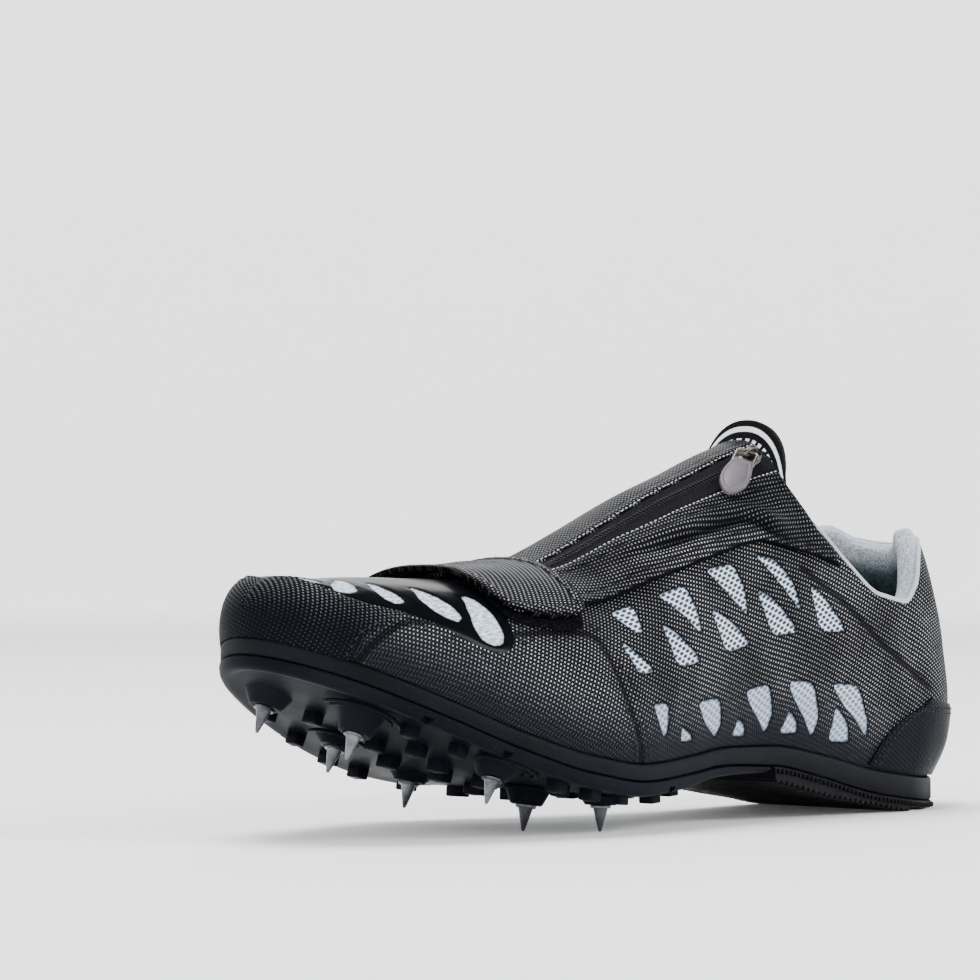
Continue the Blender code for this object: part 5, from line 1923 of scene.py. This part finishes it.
TREAD_FRONT = 0.381
TREAD_PITCH = 0.0026
TOOTH_BLOCK = (0.0011, 0.0012, 0.0013)
TOOTH_STEP = 0.0072
TREAD_FLOOR = (
    (0.000, 0.000),
    (0.141, 0.000),
    (0.206, 0.133),
    (0.284, 0.297),
    (0.342, 0.472),
    (0.388, 0.605),
    (0.442, 0.769),
)


def tread_floor(s):
    return smooth(s, TREAD_FLOOR, 1) * BALL_STACK


def ribbed(x, s):
    """Underside with its ribs: flat crests on the floor and narrow grooves between."""
    wave = 0.5 + 0.5 * np.cos(2 * math.pi * x / TREAD_PITCH)
    return tread_floor(s) + 0.0009 * ramp(wave, 0.62, 0.92)

tread_finish = plain_finish(
    "tread_rubber",
    40.0,
    (0.0028, 0.0028, 0.0036),
    (0.0060, 0.0060, 0.0070),
    (0.45, 0.65),
    grained=(0.4, 0.0002),
    specular=0.045,
)
TREAD_ROWS = np.concatenate([even_rows(20, 90, 50)[:20], np.linspace(HEEL_ROUND / LENGTH, TREAD_FRONT, 170)])
bm = slab(
    TREAD_ROWS,
    6,
    (
        (MIDSOLE_FLANGE * 0.6, lambda x, s: midsole_bottom(s) - FIT_GAP),
        (
            MIDSOLE_FLANGE,
            lambda x, s: np.maximum(tread_floor(s) + 0.0020, midsole_bottom(s) - FIT_GAP - 0.0008),
        ),
        (MIDSOLE_FLANGE, lambda x, s: ribbed(x, s) + 0.0004),
        (MIDSOLE_FLANGE - 0.0004, ribbed),
    ),
)
tread = dress("heel_rubber", bm, tread_finish, ("heel_tread",), "tread_rubber")
tread.data.set_sharp_from_angle(angle=math.radians(40))

bm = bmesh.new()
tooth_rows = np.arange(0.030, TREAD_FRONT - 0.004, TOOTH_STEP)
for side in (-1, 1):
    line = feather_line(tooth_rows, side, MIDSOLE_FLANGE + 0.0001)
    for share, (x, y) in zip(tooth_rows, line):
        top = float(midsole_bottom(share)) - FIT_GAP - 0.0012
        block(bm, Matrix.Translation((x, y, top)) @ Matrix.Diagonal((*TOOTH_BLOCK, 1)), 0.00025, 1)
dress("heel_teeth", bm, tread_finish, (), "tread_rubber")

# Spikes
# Seven turned steel cones, each with a thin round flange that seats in its boss.

SPIKE_BASE = 0.0021
SPIKE_TIP = 0.0005
FLANGE_RADIUS = 0.0029


def make_steel_finish():
    made, tree, shader = new_finish("spike_steel", (0.42, 0.42, 0.43), 0.3, metallic=1.0)
    used = group(tree, handled, {"Size": 120.0})
    place = put(tree, "ShaderNodeTexCoord").outputs["Object"]
    rings = put(tree, "ShaderNodeMapping", {"Vector": place, "Scale": (300.0, 300.0, 6000.0)}).outputs[0]
    turned = put(tree, "ShaderNodeTexNoise", {"Vector": rings, "Scale": 1.0, "Detail": 2.0}).outputs["Fac"]
    color = blended(tree, used.outputs["Cloud"], (0.07, 0.07, 0.08, 1), (0.20, 0.20, 0.22, 1))
    color = blended(tree, times(tree, turned, 0.45), color, (0.035, 0.035, 0.04, 1))
    lay(tree, shader, color, span(tree, turned, 0.3, 0.7, 0.24, 0.42), turned, 0.25, 0.00008)
    return made


steel = make_steel_finish()
for name, share, across, boss in SPIKES:
    frame_of, height = spike_frame(share, across, boss)
    outline = (
        (0.0, 0.0),
        (SPIKE_TIP * 0.6, 0.00008),
        (SPIKE_TIP, 0.0004),
        (SPIKE_BASE, SPIKE_LENGTH),
        (FLANGE_RADIUS - 0.00015, SPIKE_LENGTH),
        (FLANGE_RADIUS, SPIKE_LENGTH + 0.00015),
        (FLANGE_RADIUS, SPIKE_LENGTH + FLANGE_THICK - 0.00015),
        (FLANGE_RADIUS - 0.00015, SPIKE_LENGTH + FLANGE_THICK),
        (0.0, SPIKE_LENGTH + FLANGE_THICK),
    )
    bm = bmesh.new()
    lathe(bm, outline, 40)
    bmesh.ops.remove_doubles(bm, verts=bm.verts, dist=0.00001)
    bmesh.ops.recalc_face_normals(bm, faces=bm.faces)
    bmesh.ops.transform(bm, matrix=frame_of, verts=bm.verts)
    turned_spike = dress(name + "_steel", bm, steel, (name,), "spike_steel")
    turned_spike.data.set_sharp_from_angle(angle=math.radians(35))

# Zip slider
# A cast metal slider parked at the top of the zip, with a raised bridge that holds
# the pull.

SLIDER_WAY = 0.920
SLIDER_LONG = 0.0082
SLIDER_WIDE = 0.0066
SLIDER_HIGH = 0.0022
SLIDER_BASE = 0.00045
BRIDGE_HIGH = 0.0026
BRIDGE_BACK = 0.0002
BRIDGE_REACH = 0.0027
BRIDGE_SINK = 0.0004
BRIDGE_RADIUS = 0.00062
OVERLAY_GAP = 0.0004
ZIP_TAPE = 0.0010


def zip_frame():
    """Frame on the tape under the slider: X towards the toe along the zip, Z away from the foot."""
    a = (shroud_edge(SLIDER_WAY, 2) + shroud_edge(SLIDER_WAY, 3)) / 2
    here = last(shroud_share(SLIDER_WAY, a), a)
    ahead = last(shroud_share(SLIDER_WAY - 0.03, a), a)
    beside = last(shroud_share(SLIDER_WAY, a + 0.01), a + 0.01)
    along = Vector(ahead - here).normalized()
    normal = along.cross(Vector(beside - here)).normalized()
    if normal.z < 0:
        normal = -normal
    across = normal.cross(along).normalized()
    top = Vector(here) + normal * (OVERLAY_GAP + ZIP_TAPE)
    return Matrix.Translation(top) @ Matrix((along, across, normal)).transposed().to_4x4()

ZIP = zip_frame()
zip_metal = plain_finish(
    "zip_metal",
    260.0,
    (0.060, 0.055, 0.048),
    (0.20, 0.185, 0.165),
    (0.20, 0.34),
    grained=(0.15, 0.00008),
    metal=1.0,
)
bm = bmesh.new()
for middle, high in ((0.00050, 0.00080), (0.00185, 0.00080)):
    verts = bmesh.ops.create_circle(bm, cap_ends=True, segments=40, radius=1.0)["verts"]
    for vert in verts:
        x = vert.co.x
        wide = SLIDER_WIDE / 2 * (0.80 + 0.20 * ramp(x, -0.9, 0.5))
        vert.co = Vector((
            math.copysign(abs(x) ** 0.55, x) * SLIDER_LONG / 2,
            math.copysign(abs(vert.co.y) ** 0.55, vert.co.y) * wide,
            SLIDER_BASE + middle - high / 2,
        ))
    face = next(iter(verts[0].link_faces))
    made = bmesh.ops.extrude_face_region(bm, geom=[face])["geom"]
    lifted = [item for item in made if isinstance(item, bmesh.types.BMVert)]
    bmesh.ops.translate(bm, vec=(0, 0, high), verts=lifted)
bmesh.ops.create_cube(
    bm,
    size=1.0,
    matrix=Matrix.Translation(
        (0.0022, 0, SLIDER_BASE + 0.0012)
    ) @ Matrix.Diagonal((0.0030, 0.0016, 0.0016, 1)),
)
bmesh.ops.recalc_face_normals(bm, faces=bm.faces)
bmesh.ops.transform(bm, matrix=ZIP, verts=bm.verts)
dress("slider_body", bm, zip_metal, ("zip_slider",), "zip_metal", edge=0.00025)

bm = bmesh.new()
top = SLIDER_BASE + SLIDER_HIGH
arch = []
for i in range(17):
    turn = math.pi * i / 16
    rise = BRIDGE_HIGH * math.sin(turn) ** 0.7
    arch.append((-BRIDGE_BACK - BRIDGE_REACH * math.cos(turn), 0.0, top - BRIDGE_SINK + rise))
tube(bm, [ZIP @ Vector(point) for point in arch], BRIDGE_RADIUS, 12)
bmesh.ops.recalc_face_normals(bm, faces=bm.faces)
dress("slider_bridge", bm, zip_metal, (), "zip_metal")

# Zip pull
# A wire link through the bridge, moulded into a smooth grey-lilac plastic tab.

PULL_HEIGHT = 0.00125
PULL_SWING = math.radians(24.0)
PULL_DROP = math.radians(9.5)
LINK_LONG = 0.0068
LINK_WIDE = 0.0060
LINK_WIRE = 0.0011
TAB_LONG = 0.0165
TAB_WIDE = 0.0085
TAB_THICK = 0.0018
TAB_MIDDLE = 0.52
TAB_ROOT = LINK_LONG - 0.0024
PIVOT = Vector((0.0008, 0.0, top + PULL_HEIGHT))
PULL = ZIP @ Matrix.Translation(PIVOT) @ Matrix.Rotation(
    PULL_SWING, 4, "Z"
) @ Matrix.Rotation(PULL_DROP, 4, "Y")

bm = bmesh.new()
corner = LINK_WIRE
loop_line = []
for cx, cy, start in (
    (LINK_LONG - corner, LINK_WIDE / 2 - corner, 0),
    (corner, LINK_WIDE / 2 - corner, 90),
    (corner, -LINK_WIDE / 2 + corner, 180),
    (LINK_LONG - corner, -LINK_WIDE / 2 + corner, 270),
):
    for i in range(7):
        turn = math.radians(start + 15 * i)
        loop_line.append(PULL @ Vector((cx + corner * math.cos(turn), cy + corner * math.sin(turn), 0)))
loop_line.append(loop_line[0])
tube(bm, loop_line, LINK_WIRE / 2, 12)
bmesh.ops.recalc_face_normals(bm, faces=bm.faces)
dress("pull_wire", bm, zip_metal, ("pull_link",), "zip_metal", body="zip_pull")

# Outline of the tab: distance from its root and half width, as shares.
TAB_OUTLINE = (
    (0.00, 0.62),
    (0.05, 0.70),
    (0.22, 0.86),
    (0.42, 0.98),
    (0.54, 1.00),
    (0.70, 0.91),
    (0.82, 0.71),
    (0.92, 0.44),
    (0.97, 0.25),
    (1.00, 0.00),
)
bm = bmesh.new()
along = np.concatenate([np.linspace(0.0, 0.9, 15), 1 - 0.1 * np.linspace(1, 0, 8)[1:] ** 2])
half = smooth(along, TAB_OUTLINE, 1) * TAB_WIDE / 2
rim = [(x, y) for x, y in zip(along, half)] + [(x, -y) for x, y in zip(along[::-1][1:], half[::-1][1:])]
middle = TAB_ROOT + TAB_MIDDLE * TAB_LONG
verts = [bm.verts.new((TAB_ROOT + x * TAB_LONG, y, 0.0)) for x, y in rim]
crown = [bm.faces.new(verts)]
# Steps outwards and up from the underside: how far the outline has come, and its height.
steps = (
    (1.00, -TAB_THICK / 2 + 0.00035),
    (1.00, TAB_THICK / 2 - 0.00060),
    (0.975, TAB_THICK / 2 - 0.00025),
    (0.93, TAB_THICK / 2 - 0.00008),
    (0.86, TAB_THICK / 2),
    (0.78, TAB_THICK / 2),
    (0.74, TAB_THICK / 2 - 0.00022),
    (0.40, TAB_THICK / 2 - 0.00010),
)
UNDER_SHARE = 0.93
reached = UNDER_SHARE
for vert in verts:
    vert.co = Vector((middle + (vert.co.x - middle) * reached, vert.co.y * reached, -TAB_THICK / 2))
for grown, level in steps:
    made = bmesh.ops.extrude_face_region(bm, geom=crown)["geom"]
    if reached != UNDER_SHARE:
        bmesh.ops.delete(bm, geom=crown, context="FACES_ONLY")
    crown = [item for item in made if isinstance(item, bmesh.types.BMFace)]
    for vert in [item for item in made if isinstance(item, bmesh.types.BMVert)]:
        vert.co = Vector(
            (middle + (vert.co.x - middle) * grown / reached, vert.co.y * grown / reached, level)
        )
    reached = grown
bmesh.ops.recalc_face_normals(bm, faces=bm.faces)
bmesh.ops.transform(bm, matrix=PULL, verts=bm.verts)
tab_finish = plain_finish(
    "tab_plastic",
    90.0,
    (0.066, 0.056, 0.069),
    (0.105, 0.092, 0.109),
    (0.36, 0.48),
    grained=(0.12, 0.00008),
    specular=0.25,
)
dress("pull_grip", bm, tab_finish, ("pull_tab",), "tab_plastic", body="zip_pull", edge=0.00018)

# Threads
# Rows of small stitches: dark along the panels' and the film's edges, dark with painted grey glints along the
# strap, and pale along the zip.

def stitch_row(name, s, a, height, pitch, size, finish):
    bm = bmesh.new()
    s, a = paced(s, a, pitch)
    beads(bm, s, a, height(s, a) if callable(height) else height, size)
    return dress(name, bm, finish, ())


def both_sides(name, s, a):
    """The same dark row on the outer half and on the inner half, over whatever lies there."""
    for half, turned in (("outer", a), ("inner", 1 - a)):
        stitch_row(name + "_" + half, s, turned, cover_height, 0.0021, STITCH, dark_thread)


def path(corners, count):
    table = np.array(corners, float)
    at = np.linspace(0, 1, count)
    knots = np.linspace(0, 1, len(table))
    keyed = [(knot, s, a) for knot, (s, a) in zip(knots, table)]
    return smooth(at, keyed, 1), smooth(at, keyed, 2)


def beside(s, a, shift):
    """The same line moved sideways on the cloth, in metres."""
    step = np.gradient(raised(s, a, 0.0), axis=0)
    step = step / np.linalg.norm(step, axis=1, keepdims=True)
    along = (last(s + 0.001, a) - last(s - 0.001, a)) / 0.002
    around = (last(s, a + 0.001) - last(s, a - 0.001)) / 0.002
    normal = np.cross(around, along)
    normal = normal / np.linalg.norm(normal, axis=1, keepdims=True)
    away = np.cross(normal, step) * shift
    gram = (along * along).sum(1), (along * around).sum(1), (around * around).sum(1)
    first = (away * along).sum(1)
    second = (away * around).sum(1)
    whole = gram[0] * gram[2] - gram[1] ** 2
    return s + (first * gram[2] - second * gram[1]) / whole, a + (second * gram[0] - first * gram[1]) / whole


# Each thread mixes two shades by its grain; the lighter grains of the dark thread, and the grey of the
# strap's thread, are painted highlights.
thread_looks = {"rough": (0.5, 0.7), "mixed_by": "Grain", "specular": 0.04}
dark_thread = plain_finish("dark_thread", 150.0, (0.002, 0.002, 0.003), (0.050, 0.052, 0.060), **thread_looks)
glint_painted_thread = plain_finish("glint_painted_thread", 150.0, (0.040, 0.042, 0.048), (0.30, 0.31, 0.34), **thread_looks)
pale_thread = plain_finish("pale_thread", 150.0, (0.40, 0.41, 0.43), (0.85, 0.86, 0.88), **thread_looks)
STITCH = (0.00062, 0.00022, 0.00018)
FINE_STITCH = (0.00055, 0.00020, 0.00020)

way_line = np.linspace(SLOT_SHARE + 0.005, 0.992, 140)
for title, column, shift in (("low", 2, -0.0030), ("top", 3, 0.0030)):
    a = shroud_edge(way_line, column) + shift
    stitch_row(
        "zip_stitch_" + title,
        shroud_share(way_line, a),
        a,
        SHROUD_TOP + 0.00012,
        0.00180,
        (0.00056, 0.00019, 0.00016),
        pale_thread,
    )
way_line = np.linspace(0.14, 0.985, 140)
for title, column, shift in (("low", 1, 0.0090), ("inner", 4, -0.0090)):
    a = shroud_edge(way_line, column) + shift
    stitch_row(
        "shroud_stitch_" + title,
        shroud_share(way_line, a),
        a,
        SHROUD_TOP + 0.00030,
        0.0021,
        STITCH,
        dark_thread,
    )


def cover_height(s, a):
    """Height of the cloth's surface, with the toe panel's layer on it where that lies."""
    k = np.where(a < 0.5, 2 * a, 2 - 2 * a)
    share = np.clip(k / smooth(s, TOE_TOP, 1), 0, 1.2)
    covered = (share <= 1.0) & (s > smooth(share, TOE_SEAM, 1))
    return np.where(covered, PANEL_LIFT + 0.00010, 0.00025)


film_s, film_a = path(FILM[1:14], 170)
for title, shift in (("near", -0.0013), ("far", -0.0031)):
    s, a = beside(film_s, film_a, shift)
    for half, turned in (("outer", a), ("inner", 1 - a)):
        stitch_row(
            "film_stitch_" + title + "_" + half, s, turned, cover_height, 0.0019, FINE_STITCH, dark_thread
        )
for half, end in (("outer", -1), ("inner", 1)):
    s, a, _ = toe_panel_place(np.full(60, 0.5 + end * 0.5 * 0.960), np.linspace(0.03, 0.93, 60))
    stitch_row("toe_stitch_first_" + half, s, a, PANEL_LIFT + 0.00003, 0.0021, STITCH, dark_thread)
for title, row in (("first", 0.930), ("second", 0.860)):
    s, a, _ = counter_place(np.linspace(0.02, 0.98, 140), np.full(140, row))
    stitch_row("heel_stitch_" + title, s, a, COUNTER_LIFT + 0.00003, 0.0022, STITCH, dark_thread)
for title, inset in (("first", 0.985), ("second", 0.955)):
    for half, end in (("outer", -1), ("inner", 1)):
        s, a, _ = counter_place(0.5 + end * 0.5 * np.full(60, inset), np.linspace(0.03, 0.90, 60))
        row_name = "heel_side_" + title + "_" + half
        stitch_row(row_name, s, a, COUNTER_LIFT + 0.00003, 0.0022, STITCH, dark_thread)
for title, number, shifts in (("vamp", 0, (-0.0022, 0.0020, 0.0036)), ("toe_side", 2, (0.0016,))):
    line_s, line_a = path(SEAMS[number], 110)
    for count, shift in enumerate(shifts):
        s, a = beside(line_s, line_a, shift)
        both_sides(f"{title}_stitch_{count}", s, np.clip(a, 0.006, 1.0))

for title, column, shift in (("front", 1, -0.0030), ("rear", 2, 0.0030)):
    a = np.linspace(0.315, 0.915, 160)
    s = smooth(a, STRAP, column) + shift / LENGTH
    stitch_row("strap_stitch_" + title, s, a, STRAP_TOP + 0.00030, 0.0020, FINE_STITCH, glint_painted_thread)

low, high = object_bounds()
